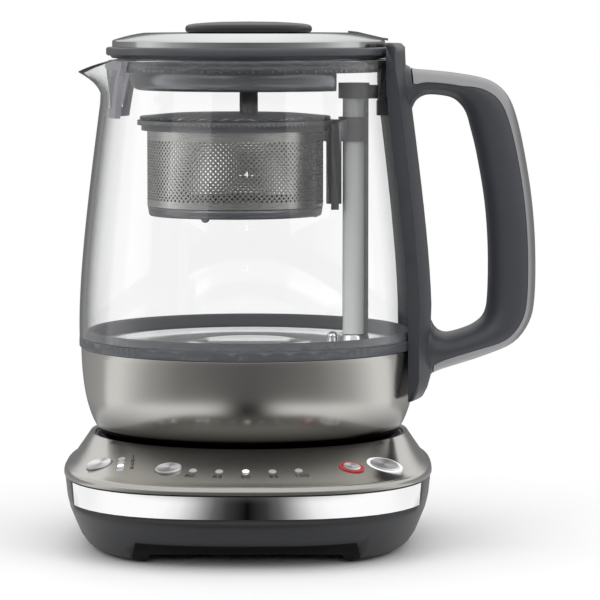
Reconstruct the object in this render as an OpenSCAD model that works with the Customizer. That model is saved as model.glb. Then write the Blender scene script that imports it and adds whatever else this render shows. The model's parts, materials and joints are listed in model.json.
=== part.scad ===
// Glass tea maker: a jug with a powered infuser basket, standing on a base with buttons.
// Millimetres, Z up, front towards -Y, handle towards +X, spout towards -X.
// The origin lies on the table under the middle of the whole outline.

/* [Base] */
// Width of the base
base_w = 161; // [158:1:176]
// Depth of the base
base_d = 189; // [184:1:204]
// How far the base reaches behind the jug's axis
base_back = 77; // [76:0.5:84]
// Squareness of the base seen from above, 2 is an ellipse
base_square = 2.7; // [2.4:0.1:3.4]
// Wall of the lower housing
housing_t = 2.4; // [2:0.1:3]
// Height of the seam between the housing and the top shell
seam_z = 32.2; // [30:0.5:36]
// Height of the rounded edge of the top shell
lip_h = 3.4; // [3:0.1:4]
// How far the rounded edge draws in
lip_in = 2.4; // [2:0.1:2.8]
// Wall of the top shell
shell_t = 2.2; // [1.8:0.1:2.6]
// Height of the rim round the seat
rim_z = 46.1; // [45:0.1:47]
// Radius of the rim round the seat
rim_r = 70.5; // [70:0.1:73]
// Width of the flat of the rim
rim_w = 2; // [1.5:0.1:2.2]
// Height of the bright band
band_h = 9.6; // [6:0.1:12]
// Thickness of the bright band
band_t = 1.3; // [1:0.1:1.6]
// How far the band reaches back along the sides, from the jug's axis
band_end = 68; // [50:1:80]
// Width of the arches in the housing's front and back
arch_w = 98; // [80:1:99]
// Height of the arches
arch_h = 10; // [7:0.5:11]
// Height of the underside above the table
pan_z = 3.3; // [2.8:0.1:4]
// Length of a rubber pad
pad_l = 22; // [14:1:30]
// Radius of a rubber pad's round ends
pad_r = 5; // [3:0.5:5.2]
// How far a rubber pad stands below the housing
pad_drop = 0.8; // [0.5:0.1:1.2]
// Depth of the pockets that hold the pads
pad_pocket = 1.4; // [1:0.1:2]

/* [Controls] */
// How far in front of the panel's middle the buttons lie
row_front = 4.35; // [3.5:0.05:5]
// How much nearer the axis the outer left button sits
button_draw = 2.6; // [2:0.1:3]
// Radius of the two plain buttons
plain_button_r = 5.6; // [4:0.1:5.8]
// Radius of the small ringed button
warm_button_r = 3.8; // [3:0.1:4.2]
// Radius of the large ringed button
start_button_r = 6.2; // [5:0.1:6.4]
// Width of the light rings
ring_w = 1.3; // [1:0.1:1.4]
// How far the buttons stand proud
button_rise = 1.1; // [0.8:0.1:1.6]
// Travel of the buttons
button_travel = 0.6; // [0.4:0.1:0.8]
// Radius of a light
light_r = 1.7; // [1.2:0.1:1.9]
// Angle between the lights of the temperature row
light_step = 6.8; // [5:0.1:7]
// Distance between the lights of the strength column
column_step = 4.6; // [4.3:0.1:4.8]
// How far to the right of the strength button its column of lights lies
column_gap = 9.6; // [9.3:0.1:10]
// How far behind the front of the row the middle of the strength column lies
column_back = 20.4; // [20:0.1:21]
// Height of the control board
board_z = 26; // [25:0.5:26.5]
// Depth of the control board, from front to back
control_w = 27; // [24:0.5:28]
// Width of a switch on the control board
switch_w = 6; // [5:0.1:6.2]
// Height of a switch, its plunger included
switch_h = 4; // [3.6:0.1:4.2]
// Width of the power board
power_w = 56; // [52:1:58]
// Depth of the power board
power_d = 62; // [58:1:64]
// Thickness of the circuit boards
board_t = 1.6; // [1.2:0.1:2]

/* [Connector] */
// Radius of the connector's tower
tower_r = 9.5; // [8:0.1:11]
// Height of the tower above the seat
tower_h = 11; // [9:0.5:13]
// Radius of the socket in the jug
socket_r = 20; // [17:0.1:22]
// Radius of the cable inlet's bore
inlet_r = 3.4; // [2.5:0.1:4]

/* [Jug] */
// Height of the jug's underside above the table
jug_z = 40; // [39.6:0.1:41]
// Radius of the metal shell's foot
foot_r = 60; // [59:0.1:61.5]
// Radius of the metal shell's top
body_r = 74.6; // [73.6:0.1:76]
// Height of the metal shell
shell_h = 43.7; // [42:0.1:46]
// Thickness of the metal shell
metal_t = 1.2; // [0.8:0.1:1.6]
// Height of the ring between shell and glass
collar_h = 4.3; // [3.5:0.1:6]
// Outer radius of the glass at the neck
neck_r = 64.8; // [64.5:0.1:66]
// Height of the glass
glass_h = 122.6; // [120:0.2:126]
// Thickness of the glass
glass_t = 2.5; // [2:0.1:2.8]
// How far the spout's tip reaches out beyond the ring below the glass
spout_over = 0.3; // [0:0.1:3]
// Depth of the spout's root below the rim
spout_depth = 17; // [15:0.5:20]
// Half angle that the spout takes of the rim
spout_angle = 25; // [20:1:30]
// Thickness of the stainless floor
floor_t = 0.8; // [0.6:0.1:1.2]
// Radius of the heating tube
heater_tube_r = 3.2; // [2.5:0.1:3.6]
// Radius that the heating tube is bent to
heater_r = 30; // [27:0.5:31]

/* [Post and drive] */
// Distance of the post from the jug's axis
post_x = 46.6; // [45.6:0.1:47.4]
// Outer radius of the post's tube
post_r = 5; // [4.8:0.1:5.4]
// Wall of the post's tube
post_t = 0.5; // [0.4:0.1:0.6]
// Height of the post's top above the jug's underside
post_top = 160.4; // [158:0.2:161]
// Width of the rail behind the tube
rail_w = 1.4; // [1:0.1:1.8]
// Depth of the rail behind the tube
rail_d = 5; // [4:0.5:6]
// Radius of the lead screw
screw_r = 1.9; // [1.5:0.1:2.2]
// Module of the drive gears
gear_module = 0.8; // [0.7:0.01:0.85]
// Teeth of the gear on the lead screw
gear_teeth = 24; // [20:2:26]
// Teeth of the motor's pinion
pinion_teeth = 12; // [11:1:14]
// Width of the gears' teeth
gear_w = 4; // [3:0.5:5]
// Play between the gears' flanks
backlash = 0.16; // [0.12:0.01:0.24]
// Radius of the drive motor
motor_r = 8; // [6:0.5:9]

/* [Basket] */
// Distance of the basket's axis from the jug's axis, towards the spout
basket_offset = 6; // [5:0.1:7]
// Outer radius of the basket's wall
basket_r = 39; // [36:0.1:39.4]
// Height of the basket's wall
basket_h = 35.4; // [30:0.2:37]
// Thickness of the basket's wall
basket_t = 0.5; // [0.4:0.1:0.8]
// Height of the basket's lower end above the jug's underside
basket_z = 101.9; // [101.6:0.1:103]
// Radius of the basket's rim
basket_rim_r = 43.4; // [42.6:0.1:44]
// Width of the basket lid's stem
stem_w = 8.1; // [6:0.1:12]
// Radius of the holes in the basket's floor
hole_r = 1.3; // [0.8:0.1:1.5]

/* [Lid] */
// Radius of the lid's flange
flange_r = 63; // [62.8:0.1:63.4]
// Height of the lid's flange
flange_h = 4.9; // [4:0.1:5.4]
// Radius of the polished cover
cover_r = 60.3; // [58:0.1:61]
// Radius of the cover's flat top
plateau_r = 46; // [42:0.5:52]
// Height of the polished cover
cover_h = 6.2; // [5.4:0.1:7]
// Radius of the lid's plug
plug_r = 58.6; // [57:0.1:58.8]
// Radius of the plug's lower step
plug_step_r = 52.4; // [48:0.1:54]
// Depth of the plug
plug_depth = 14; // [12:0.1:14.4]
// Radius of the knob
knob_r = 33.8; // [28:0.1:40]
// Height of the knob
knob_h = 5; // [4:0.1:6]

/* [Handle] */
// Thickness of the spine
spine_t = 6; // [5:0.1:7]
// Half angle that the spine wraps the glass
spine_angle = 22.5; // [18:0.5:25]
// Height of the spine's lower end above the jug's underside
spine_foot = 21.6; // [20:0.2:26]
// How far the handle reaches from the jug's axis
handle_reach = 127.3; // [120:0.1:134]
// Depth of the grip, from the palm to the fingers
grip_d = 21; // [18:0.1:24]
// Width of the grip
grip_w = 27; // [22:0.5:32]
// Thickness of the metal trim on the grip
trim_t = 1.5; // [1.2:0.1:2]

/* [Spout filter] */
// Height of the filter
filter_h = 25.3; // [22:0.1:26]
// Half angle of the filter's top
filter_top_angle = 31; // [28:0.5:33]
// Half angle of the filter's lower end
filter_low_angle = 23; // [20:0.5:26]
// Thickness of the filter's frame
filter_t = 2; // [1.6:0.1:2.2]

/* [Fits] */
// Gap between pieces that move past each other
slide_gap = 0.3; // [0.25:0.05:0.4]
// Gap between pieces that are fixed together
seam = 0.2; // [0.1:0.05:0.25]
// Radial clearance of a shaft in its bearing
running = 0.05; // [0.02:0.01:0.08]

/* [Hidden] */
$fn = 96;
e = 0.01;

// Places in the frame
jug_x = (base_w / 2 - handle_reach) / 2;
jug_y = base_d / 2 - base_back;
base_sides = 72;

// Heights of the base, above the table
lip_z = seam_z + lip_h;
seat_r = rim_r - rim_w;
dish_z = jug_z - slide_gap;
block_z = pad_drop;
housing_in = 5.2 + housing_t;
base_front = base_d - base_back;
row_r = (rim_r + base_front - lip_in) / 2 + row_front;
board_edge = base_front - 6;
band_top = seam_z - 0.7;
inlet_z = 21.5;

// Heights of the jug, above its own underside
collar_z = shell_h + seam;
glass_z = collar_z + collar_h + seam;
rim_top = glass_z + glass_h;
floor_z = collar_z + 0.6;
flange_z = rim_top + slide_gap;
lid_z = flange_z + flange_h;
collar_r = body_r + 0.8;
spout_reach = collar_r + spout_over;
plug_z = flange_z - plug_depth;
tube_z = 34;
gear_z = 26;
bracket_z = 21.8;
gear_r = gear_module * gear_teeth / 2;
pinion_r = gear_module * pinion_teeth / 2;
motor_x = post_x - gear_r - pinion_r;
stem_top = plug_z - slide_gap;

// Buttons and lights, each by its angle from the front
strength_at = -43.3;
select_at = -20.2;
warm_at = 28.3;
start_at = 39.3;
row_at = [for (i = [-2 : 2]) i * light_step];
column_x = (row_r - button_draw) * sin(strength_at) + column_gap;
column_y = [for (i = [-1.5 : 1.5]) column_back - row_r - i * column_step];

// Outlines of the jug, radius and height, as the four points of a Bezier curve
shell_curve = [[foot_r, 0.8], [foot_r + 9, 6], [body_r - 0.4, 18], [body_r, shell_h]];
glass_curve = [[body_r + 0.7, glass_z], [body_r + 1.3, glass_z + 26],
    [neck_r + 6.2, rim_top - 59], [neck_r + 0.3, rim_top - 15]];

// Outer and inner edge of the grip at each station, distance from the axis and height
grip_pairs = [[-56.3, 166.6, -36.3, 150], [-48.3, 166.1, -28.3, 153.6],
    [-37.3, 165, -20.3, 154.4], [-26.3, 163.2, -15.3, 153.2], [-18.8, 160.6, -11.7, 149.8],
    [-12.8, 155, -9.7, 146], [-8.8, 145.7, -8.3, 141], [-5.1, 129.7, -5.5, 129.7],
    [-1.7, 108.4, -1.8, 108.4], [-0.1, 87, -0.2, 87], [-0.3, 65.6, -0.4, 66],
    [-2.7, 54.2, -2, 58], [-9.8, 45, -5.8, 54], [-23.3, 39.1, -11.3, 51.4],
    [-35.3, 35.2, -19.3, 49.4], [-47.3, 31.6, -26.3, 48.2]];

// Helpers ------------------------------------------------------------------------------

function lerp(a, b, t) = a + (b - a) * t;

function bezier(p, t) = pow(1 - t, 3) * p[0] + 3 * pow(1 - t, 2) * t * p[1]
    + 3 * (1 - t) * t * t * p[2] + pow(t, 3) * p[3];

function bezier_points(p, steps) = [for (i = [0 : steps]) bezier(p, i / steps)];

function reversed(list) = [for (i = [len(list) - 1 : -1 : 0]) list[i]];

function moved(list, dx, dz) = [for (p = list) [p[0] + dx, p[1] + dz]];

// A smooth line through a list of points, with steps between each two
function through(list, steps) = [for (i = [0 : len(list) - 2]) each
    let (a = list[max(i - 1, 0)], b = list[i], c = list[i + 1], d = list[min(i + 2, len(list) - 1)])
    [for (j = [0 : steps - 1]) let (t = j / steps)
        0.5 * (2 * b + (c - a) * t + (2 * a - 5 * b + 4 * c - d) * t * t
        + (3 * b - a - 3 * c + d) * t * t * t)], list[len(list) - 1]];

// One point of the base's outline seen from above, the angle counted from +X
function plan_point(inset, angle) =
    let (a = base_w / 2 - inset, b = base_d / 2 - inset,
        r = pow(pow(abs(cos(angle)) / a, base_square) + pow(abs(sin(angle)) / b, base_square),
            -1 / base_square))
    [r * cos(angle), r * sin(angle)];

function plan_ring(inset, z) = [for (i = [0 : base_sides - 1])
    let (p = plan_point(inset, i * 360 / base_sides)) [p[0] + jug_x, p[1], z]];

// The outline drawn in towards a circle round the jug's axis, part of the way
function drawn_ring(inset, outer_z, r, inner_z, t) = [for (i = [0 : base_sides - 1])
    let (q = plan_point(inset, i * 360 / base_sides) - [0, jug_y], c = q * r / norm(q),
        m = lerp(q, c, t))
    [m[0] + jug_x, m[1] + jug_y, lerp(outer_z, inner_z, t)]];

// Distance from the jug's axis to the outline, at an angle from the front
function edge_r(inset, angle, a = 0, b = 200, steps = 24) = steps == 0 ? a :
    let (m = (a + b) / 2, x = m * sin(angle), y = jug_y - m * cos(angle),
        inside = pow(abs(x) / (base_w / 2 - inset), base_square)
        + pow(abs(y) / (base_d / 2 - inset), base_square) < 1)
    inside ? edge_r(inset, angle, m, b, steps - 1) : edge_r(inset, angle, a, m, steps - 1);

// A closed skin through rings of points, from a first ring to a last, both capped
module loft(rings) {
    n = len(rings[0]);
    last = len(rings) - 1;
    polyhedron(points = [for (r = rings) each r],
        faces = concat([[for (i = [0 : n - 1]) i]], [[for (i = [n - 1 : -1 : 0]) last * n + i]],
            [for (k = [0 : last - 1], i = [0 : n - 1])
                let (j = (i + 1) % n) each [[k * n + i, (k + 1) * n + i, (k + 1) * n + j],
                    [k * n + i, (k + 1) * n + j, k * n + j]]]));
}

// A hollow skin through rings of points that closes on its first ring again
module ring_loft(rings) {
    n = len(rings[0]);
    m = len(rings);
    polyhedron(points = [for (r = rings) each r],
        faces = [for (k = [0 : m - 1], i = [0 : n - 1])
            let (j = (i + 1) % n, l = (k + 1) % m) each [[k * n + i, l * n + i, l * n + j],
                [k * n + i, l * n + j, k * n + j]]]);
}

module on_axis(z = 0) {
    translate([jug_x, jug_y, z]) children();
}

module on_jug() {
    on_axis(jug_z) children();
}

module on_post() {
    on_jug() translate([post_x, 0, 0]) children();
}

module on_basket() {
    on_jug() translate([-basket_offset, 0, basket_z]) children();
}

// Revolves a sector that reaches an angle to each side of a direction
module sector(half_angle, towards = 0) {
    rotate([0, 0, towards - half_angle]) rotate_extrude(angle = 2 * half_angle) children();
}

module tube(outer, inner, height) {
    difference() {
        cylinder(r = outer, h = height);
        translate([0, 0, -e]) cylinder(r = inner, h = height + 2 * e);
    }
}

// Slope and height of the panel at the middle of a control
function panel_slope(angle) = atan((rim_z - lip_z) / (edge_r(lip_in, angle) - rim_r));

function panel_z(angle, r) = let (far = edge_r(lip_in, angle))
    rim_z - (rim_z - lip_z) * (r - rim_r) / (far - rim_r);

// Distance of a button from the axis: the row bends in towards the sides
function arc_r(angle) = row_r - button_draw * pow(abs(angle / strength_at), 4);

// Places a control on the panel, its own Z along the panel's normal
module on_panel(angle, r) {
    on_axis(panel_z(angle, r)) rotate([0, 0, angle]) translate([0, -r, 0])
        rotate([panel_slope(angle), 0, 0]) children();
}

module on_lights() {
    for (a = row_at) on_panel(a, arc_r(a)) children();
    for (y = column_y) on_panel(atan2(column_x, -y), norm([column_x, y])) children();
}

// Base ---------------------------------------------------------------------------------

// The front of the base, as far back as the bright band reaches
module band_front() {
    translate([-base_w, -base_d]) square([2 * base_w, base_d + jug_y - band_end]);
}

module plan_shape(inset) {
    polygon([for (p = plan_ring(inset, 0)) [p[0], p[1]]]);
}

// Recess in the housing's face that the bright band lies in
module band_recess() {
    translate([0, 0, band_top - band_h - 0.15]) linear_extrude(band_h + 0.3) intersection() {
        difference() {
            plan_shape(-2);
            plan_shape(0.9 + band_t + seam);
        }
        band_front();
    }
}

module arch(width, depth, from_y, height) {
    slant = 2.5;
    translate([jug_x, from_y + depth, -1]) rotate([90, 0, 0]) linear_extrude(depth)
        polygon([[-width / 2, 0], [width / 2, 0], [width / 2 - slant, height + 1],
            [-width / 2 + slant, height + 1]]);
}

module pad_shape(grow, height) {
    reach = pad_l / 2 - pad_r;
    for (s = [-1, 1]) translate([0, s * reach, 0]) cylinder(r = pad_r + grow, h = height);
    translate([-pad_r - grow, -reach, 0]) cube([2 * (pad_r + grow), 2 * reach, height]);
}

module at_pads() {
    pad_x = (arch_w / 2 + base_w / 2 - 14.5) / 2 - 1;
    for (sx = [-1, 1], sy = [-1, 1]) translate([jug_x + sx * pad_x, sy * 34, 0]) children();
}

module at_bosses() {
    for (s = [-1, 1], y = [-45.5, 25.5])
        translate([jug_x + s * (power_w / 2 + 6), jug_y + y, 0]) children();
}

module base_housing() {
    color("#3a3b3f") difference() {
        ring_loft([plan_ring(14.5, block_z), plan_ring(12, block_z + 0.8),
            plan_ring(9.5, block_z + 2.6), plan_ring(7, block_z + 6.2),
            plan_ring(4.8, block_z + 11.4), plan_ring(2.7, block_z + 16.6),
            plan_ring(1.4, seam_z - 9.5), plan_ring(0.4, seam_z - seam),
            plan_ring(0.4 + housing_t + 1.6, seam_z - seam), plan_ring(housing_in, arch_h + 3),
            plan_ring(32, arch_h + 3), plan_ring(32, block_z)]);
        arch(arch_w - 12, 2 * base_d, -base_d, pan_z);
        arch(arch_w, base_d, -base_d / 2 - base_d + 26, arch_h);
        arch(arch_w, base_d, base_d / 2 - 22, arch_h);
        band_recess();
        at_pads() translate([0, 0, -e]) pad_shape(seam, pad_pocket + pad_drop);
        translate([jug_x, base_d / 2, inlet_z]) rotate([90, 0, 0])
            cylinder(r = inlet_r + 2.6 + running, h = 30);
    }
}

module bottom_cover() {
    slots = 9;
    standoff = 2.4;
    color("#2d2e31") difference() {
        union() {
            translate([0, 0, pan_z]) linear_extrude(2.2) plan_shape(32.3);
            for (x = [-24, 24], y = [-22, 26]) translate([jug_x + x, y, pan_z])
                cylinder(r = 3, h = 2.2 + standoff);
        }
        for (i = [0 : slots - 1]) translate([jug_x + (i - (slots - 1) / 2) * 6 - 1.25, -8, 0])
            cube([2.5, 26, 3 * pan_z]);
        at_bosses() cylinder(r = 1.8, h = 20);
        at_bosses() translate([0, 0, pan_z - e]) cylinder(r = 3.4, h = 1.2);
    }
}

module rubber_pads() {
    color("#1e1e20") at_pads() pad_shape(0, pad_pocket + pad_drop - seam);
}

module chrome_band() {
    low = band_top - band_h;
    color("#d9dadb") intersection() {
        ring_loft([plan_ring(0.9 + band_t, low), plan_ring(0.9, low), plan_ring(0.2, band_top),
            plan_ring(0.9 + band_t, band_top)]);
        linear_extrude(seam_z) band_front();
    }
}

module top_shell() {
    inner_rim_z = rim_z - shell_t - 0.4;
    color("#7a7a76") difference() {
        ring_loft([plan_ring(shell_t, seam_z), plan_ring(0, seam_z), plan_ring(0, seam_z + 1.4),
            plan_ring(0.7, lip_z - 0.8), plan_ring(lip_in, lip_z),
            drawn_ring(lip_in, lip_z, rim_r, rim_z, 0.5), drawn_ring(lip_in, lip_z, rim_r, rim_z, 1),
            drawn_ring(lip_in, lip_z, seat_r, rim_z - 0.4, 1),
            drawn_ring(lip_in, lip_z, seat_r, inner_rim_z, 1),
            drawn_ring(lip_in, lip_z, rim_r + 0.6, inner_rim_z, 1),
            plan_ring(lip_in + shell_t, lip_z - shell_t)]);
        on_panel(strength_at, arc_r(strength_at)) panel_hole(plain_button_r + slide_gap);
        on_panel(select_at, arc_r(select_at)) panel_hole(plain_button_r + slide_gap);
        on_panel(warm_at, arc_r(warm_at)) panel_hole(warm_button_r + slide_gap + ring_w + 0.05);
        on_panel(start_at, arc_r(start_at)) panel_hole(start_button_r + slide_gap + ring_w + 0.05);
        on_lights() panel_hole(light_r + 0.05);
    }
}

module panel_hole(r) {
    translate([0, 0, -10]) cylinder(r = r, h = 20);
}

module seat_dish() {
    wall_r = seat_r - seam;
    color("#161617") union() {
        on_axis() rotate_extrude() polygon([[socket_r, dish_z - 5], [wall_r - 5, dish_z - 5],
            [wall_r - 1.8, dish_z - 1], [rim_r + 0.6, rim_z - 7.2], [rim_r + 0.6, rim_z - 5.2],
            [wall_r, rim_z - 5.2], [wall_r, rim_z - 1.2], [wall_r - 1.2, rim_z - 1.2],
            [wall_r - 1.8, dish_z + 1.5], [wall_r - 6, dish_z - 2.6], [foot_r - 3, dish_z - 2.6],
            [foot_r - 3.6, dish_z], [foot_r - 9.4, dish_z], [foot_r - 10, dish_z - 2.6],
            [socket_r, dish_z - 2.6]]);
        difference() {
            at_bosses() translate([0, 0, pan_z + 2.2 + seam]) cylinder(r = 4, h = dish_z - 9.8);
            at_bosses() translate([0, 0, pan_z]) cylinder(r = 1.5, h = 16);
        }
    }
}

module power_connector() {
    base_z = dish_z - 8.6;
    color("#1a1a1b") on_axis() difference() {
        union() {
            translate([0, 0, base_z]) cylinder(r = socket_r - seam, h = 6);
            translate([0, 0, base_z]) cylinder(r = tower_r, h = jug_z + tower_h - base_z - 1);
            translate([0, 0, jug_z + tower_h - 1]) cylinder(r1 = tower_r, r2 = tower_r - 1, h = 1);
            translate([0, 0, base_z - 2]) cylinder(r = socket_r + 4, h = 5.4);
        }
        for (z = [2.5, 5.5, 8.5]) translate([0, 0, jug_z + z - running])
            tube(tower_r + 1, tower_r - 1 - running, 1 + 2 * running);
        translate([0, 0, jug_z + 2]) cylinder(r = 2.2, h = tower_h);
    }
}

module connector_contacts() {
    color("#c9a24a") on_axis() union() {
        for (z = [2.5, 5.5, 8.5]) translate([0, 0, jug_z + z]) tube(tower_r - running, tower_r - 1, 1);
        translate([0, 0, jug_z + 2]) cylinder(r = 1.2, h = tower_h - 4);
    }
}

module control_board() {
    color("#2f6b3c") translate([0, 0, board_z]) linear_extrude(board_t) intersection() {
        plan_shape(housing_in + 0.6);
        translate([jug_x, jug_y]) difference() {
            circle(r = board_edge);
            circle(r = board_edge - control_w);
            translate([-base_w, 51 - board_edge]) square([2 * base_w, 2 * base_d]);
        }
    }
}

module at_switch(angle) {
    drop = panel_z(angle, arc_r(angle)) - board_z - board_t;
    on_axis(board_z + board_t) rotate([0, 0, angle])
        translate([0, -arc_r(angle) + tan(panel_slope(angle)) * (drop - switch_h), 0]) children();
}

module tact_switches() {
    plunger_h = 0.8;
    body_h = switch_h - plunger_h;
    color("#26272a") for (a = [strength_at, select_at, warm_at, start_at]) at_switch(a) {
        translate([-switch_w / 2, -switch_w / 2, 0]) cube([switch_w, switch_w, body_h]);
        translate([0, 0, body_h - e]) cylinder(r = 1.7, h = plunger_h + e);
    }
}

module lights() {
    color("#f2f3f5") difference() {
        on_lights() union() {
            translate([0, 0, -6]) cylinder(r = light_r, h = 6.1);
            translate([0, 0, 0.1 - e]) cylinder(r1 = light_r, r2 = light_r - 0.5, h = 0.4);
        }
        translate([-base_w, -base_d, board_z]) cube([2 * base_w, 2 * base_d, board_t + seam]);
    }
}

module warm_ring() {
    color("#b22222") light_ring(warm_at, warm_button_r);
}

module start_ring() {
    color("#eef0f2") light_ring(start_at, start_button_r);
}

module light_ring(angle, cap_r) {
    on_panel(angle, arc_r(angle)) translate([0, 0, -shell_t - 1])
        tube(cap_r + slide_gap + ring_w, cap_r + slide_gap, shell_t + 1.5);
}

module cord_inlet() {
    out_y = base_d / 2 - 1;
    color("#232427") translate([jug_x, out_y, inlet_z]) rotate([90, 0, 0]) difference() {
        union() {
            cylinder(r = inlet_r + 2.6, h = 12);
            cylinder(r1 = inlet_r + 1.2, r2 = inlet_r + 2.6, h = 1);
            translate([0, 0, 9]) cylinder(r = inlet_r + 4.4, h = 3);
        }
        translate([0, 0, -e]) cylinder(r = inlet_r, h = 12 + 2 * e);
    }
}

module power_board() {
    board_low = pan_z + 2.2 + 2.4;
    color("#2f6b3c") translate([jug_x, 0, board_low]) {
        translate([-power_w / 2, 2 - power_d / 2, 0]) cube([power_w, power_d, board_t]);
        translate([3 - power_w / 2, 11 - power_d / 2, board_t]) cube([24, 22, 15]);
        translate([power_w / 2 - 24, 11 - power_d / 2, board_t]) cube([19, 15, 14]);
        for (x = [8, 20]) translate([x - power_w / 2, power_d / 2 - 11, board_t])
            cylinder(r = 5, h = 13);
        translate([power_w / 2 - 22, power_d / 2 - 19, board_t]) cube([16, 4, 14]);
    }
}

// Buttons, each with its dished cap, its collar under the panel and its stem
module button(angle, r, collar) {
    low = -shell_t - 1.6;
    dish = 0.35;
    on_panel(angle, arc_r(angle)) rotate_extrude() polygon(concat([[0, -stem_reach(angle)],
        [1.8, -stem_reach(angle)], [1.8, low - 1], [r + collar, low - 1], [r + collar, low],
        [r, low], [r, button_rise - 0.4], [r - 0.4, button_rise]],
        [for (t = [0.8 : -0.2 : 0]) [(r - 0.4) * t, button_rise - dish * (1 - t * t)]]));
}

// Length of a button's stem, so that it ends just above its switch
function stem_reach(angle) = (panel_z(angle, arc_r(angle)) - board_z - board_t - switch_h)
    / cos(panel_slope(angle)) - button_travel - 0.8;

module strength_button() {
    color("#c8c9ca") button(strength_at, plain_button_r, 1);
}

module select_button() {
    color("#c8c9ca") button(select_at, plain_button_r, 1);
}

module warm_button() {
    color("#c8c9ca") button(warm_at, warm_button_r, 0);
}

module start_button() {
    color("#c8c9ca") button(start_at, start_button_r, 0);
}

// Jug ----------------------------------------------------------------------------------

module jug_socket() {
    color("#1a1a1b") on_jug() rotate_extrude() polygon([[tower_r + slide_gap, 0],
        [socket_r, 0], [socket_r, 2.6], [socket_r + 2, 2.6], [socket_r + 2, 5], [socket_r, 5],
        [socket_r, 8], [tower_r + 3, 8], [tower_r + 3, tower_h + 3.5], [0, tower_h + 3.5],
        [0, tower_h + slide_gap], [tower_r + slide_gap, tower_h + slide_gap]]);
}

module glass_profile(shift) {
    curve = moved(bezier_points(glass_curve, 14), shift, 0);
    polygon(concat([[0, glass_z + shift]], [[curve[0][0], glass_z + shift]],
        [for (i = [1 : 14]) curve[i]], [[neck_r + shift, rim_top - 9], [neck_r + shift, rim_top - e],
        [0, rim_top - e]]));
}

// The pouring lip, drawn in by the glass's thickness for its inside
module spout_form(inset, lift) {
    root_r = neck_r - 1.6 - inset;
    angle = spout_angle - inset;
    tip_z = rim_top - 5.8;
    hull() {
        for (s = [-1, 1]) rotate([0, 0, 180 + s * angle])
            translate([root_r, 0, rim_top - spout_depth + inset])
            cylinder(r = 1.5, h = spout_depth + lift - inset, $fn = 16);
        translate([-spout_reach + 2.3 + inset, 0, tip_z + inset * 0.7])
            sphere(r = 2.3 - inset * 0.6, $fn = 32);
        if (lift > 0) translate([-spout_reach + 2.3 + inset, 0, tip_z])
            cylinder(r = 2.3 - inset * 0.6, h = 6 + lift, $fn = 32);
        translate([-root_r - 1, 0, rim_top - spout_depth + 1 + inset]) sphere(r = 2, $fn = 32);
    }
}

module glass_jug() {
    color("#dfe6e8", 0.35) on_jug() difference() {
        union() {
            rotate_extrude() glass_profile(0);
            spout_form(0, 0);
        }
        translate([0, 0, -e]) rotate_extrude() glass_bore();
        spout_form(1.9, 2);
    }
}

// The inside of the glass, open at both ends
module glass_bore() {
    curve = moved(bezier_points(glass_curve, 14), -glass_t, 0);
    polygon(concat([[0, glass_z - 2], [curve[0][0], glass_z - 2]], curve,
        [[neck_r - glass_t, rim_top - 9], [neck_r - glass_t, rim_top + 2], [0, rim_top + 2]]));
}

module collar_ring() {
    color("#3f4044") on_jug() rotate_extrude() polygon([[body_r - 2, collar_z],
        [collar_r - 0.4, collar_z], [collar_r, collar_z + 0.5],
        [collar_r, collar_z + collar_h - 0.5], [collar_r - 0.4, collar_z + collar_h],
        [body_r - 2, collar_z + collar_h]]);
}

module metal_shell() {
    outer = bezier_points(shell_curve, 16);
    color("#6e6d69") on_jug() rotate_extrude() polygon(concat([[foot_r - 2.6, 0.6]],
        [[foot_r - 1, 0.5]], outer, [[body_r - metal_t, shell_h]],
        reversed(moved([for (i = [1 : 15]) outer[i]], -metal_t, metal_t * 0.5)),
        [[foot_r - 0.6, 1.8], [foot_r - 2.6, 1.8]]));
}

module jug_bottom() {
    plate_r = foot_r - 2.6 - seam;
    well_r = socket_r + 4;
    color("#202124") on_jug() union() {
        rotate_extrude() polygon([[socket_r + slide_gap, 0], [plate_r, 0],
            [plate_r, 1.8 + seam], [plate_r + 1.6, 1.8 + seam], [plate_r + 1.6, 3.6],
            [socket_r + slide_gap, 2.2]]);
        rotate_extrude() polygon([[socket_r + 2 + slide_gap, 2], [well_r, 2],
            [well_r, 7], [socket_r + slide_gap, 7], [socket_r + slide_gap, 5 + slide_gap],
            [socket_r + 2 + slide_gap, 5 + slide_gap]]);
    }
}

// Stainless floor with its pressed rings, and the holes for the post and the probe
module floor_plate() {
    r = body_r - 2 - seam;
    step = 0.7;
    color("#b9babb") on_jug() difference() {
        rotate_extrude() polygon(concat(floor_line(0, r, step), reversed(floor_line(floor_t, r, step))));
        translate([post_x, 0, 0]) cylinder(r = post_r + running, h = 100);
        translate([probe_x(), -4, 0]) cylinder(r = 2.1, h = 100);
    }
}

function floor_line(lift, r, step) = [[0, floor_z + lift], [18, floor_z + lift],
    [19, floor_z + lift + step], [27, floor_z + lift + step], [28, floor_z + lift],
    [57, floor_z + lift], [58, floor_z + lift + step], [r, floor_z + lift + step]];

function probe_x() = post_x - 9.4;

module floor_seal() {
    r = body_r - 2 - seam;
    top = glass_z + 3;
    low = floor_z + floor_t + 0.7 + 0.05;
    color("#2c2d30") on_jug() rotate_extrude() polygon([[r - 3, low], [r, low], [r, top - 0.8],
        [r - 0.8, top], [r - 1.8, top], [r - 3, top - 1.2]]);
}

module heating_element() {
    z = floor_z - heater_tube_r - 0.1;
    gap_angle = 24;
    color("#8b8c8e") on_jug() union() {
        rotate([0, 0, 90 + gap_angle]) rotate_extrude(angle = 360 - 2 * gap_angle)
            translate([heater_r, z]) circle(r = heater_tube_r);
        for (a = [90 + gap_angle + 2, 90 - gap_angle - 2]) rotate([0, 0, a])
            translate([heater_r, 0, z - 13]) cylinder(r = 2, h = 12);
    }
}

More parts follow.
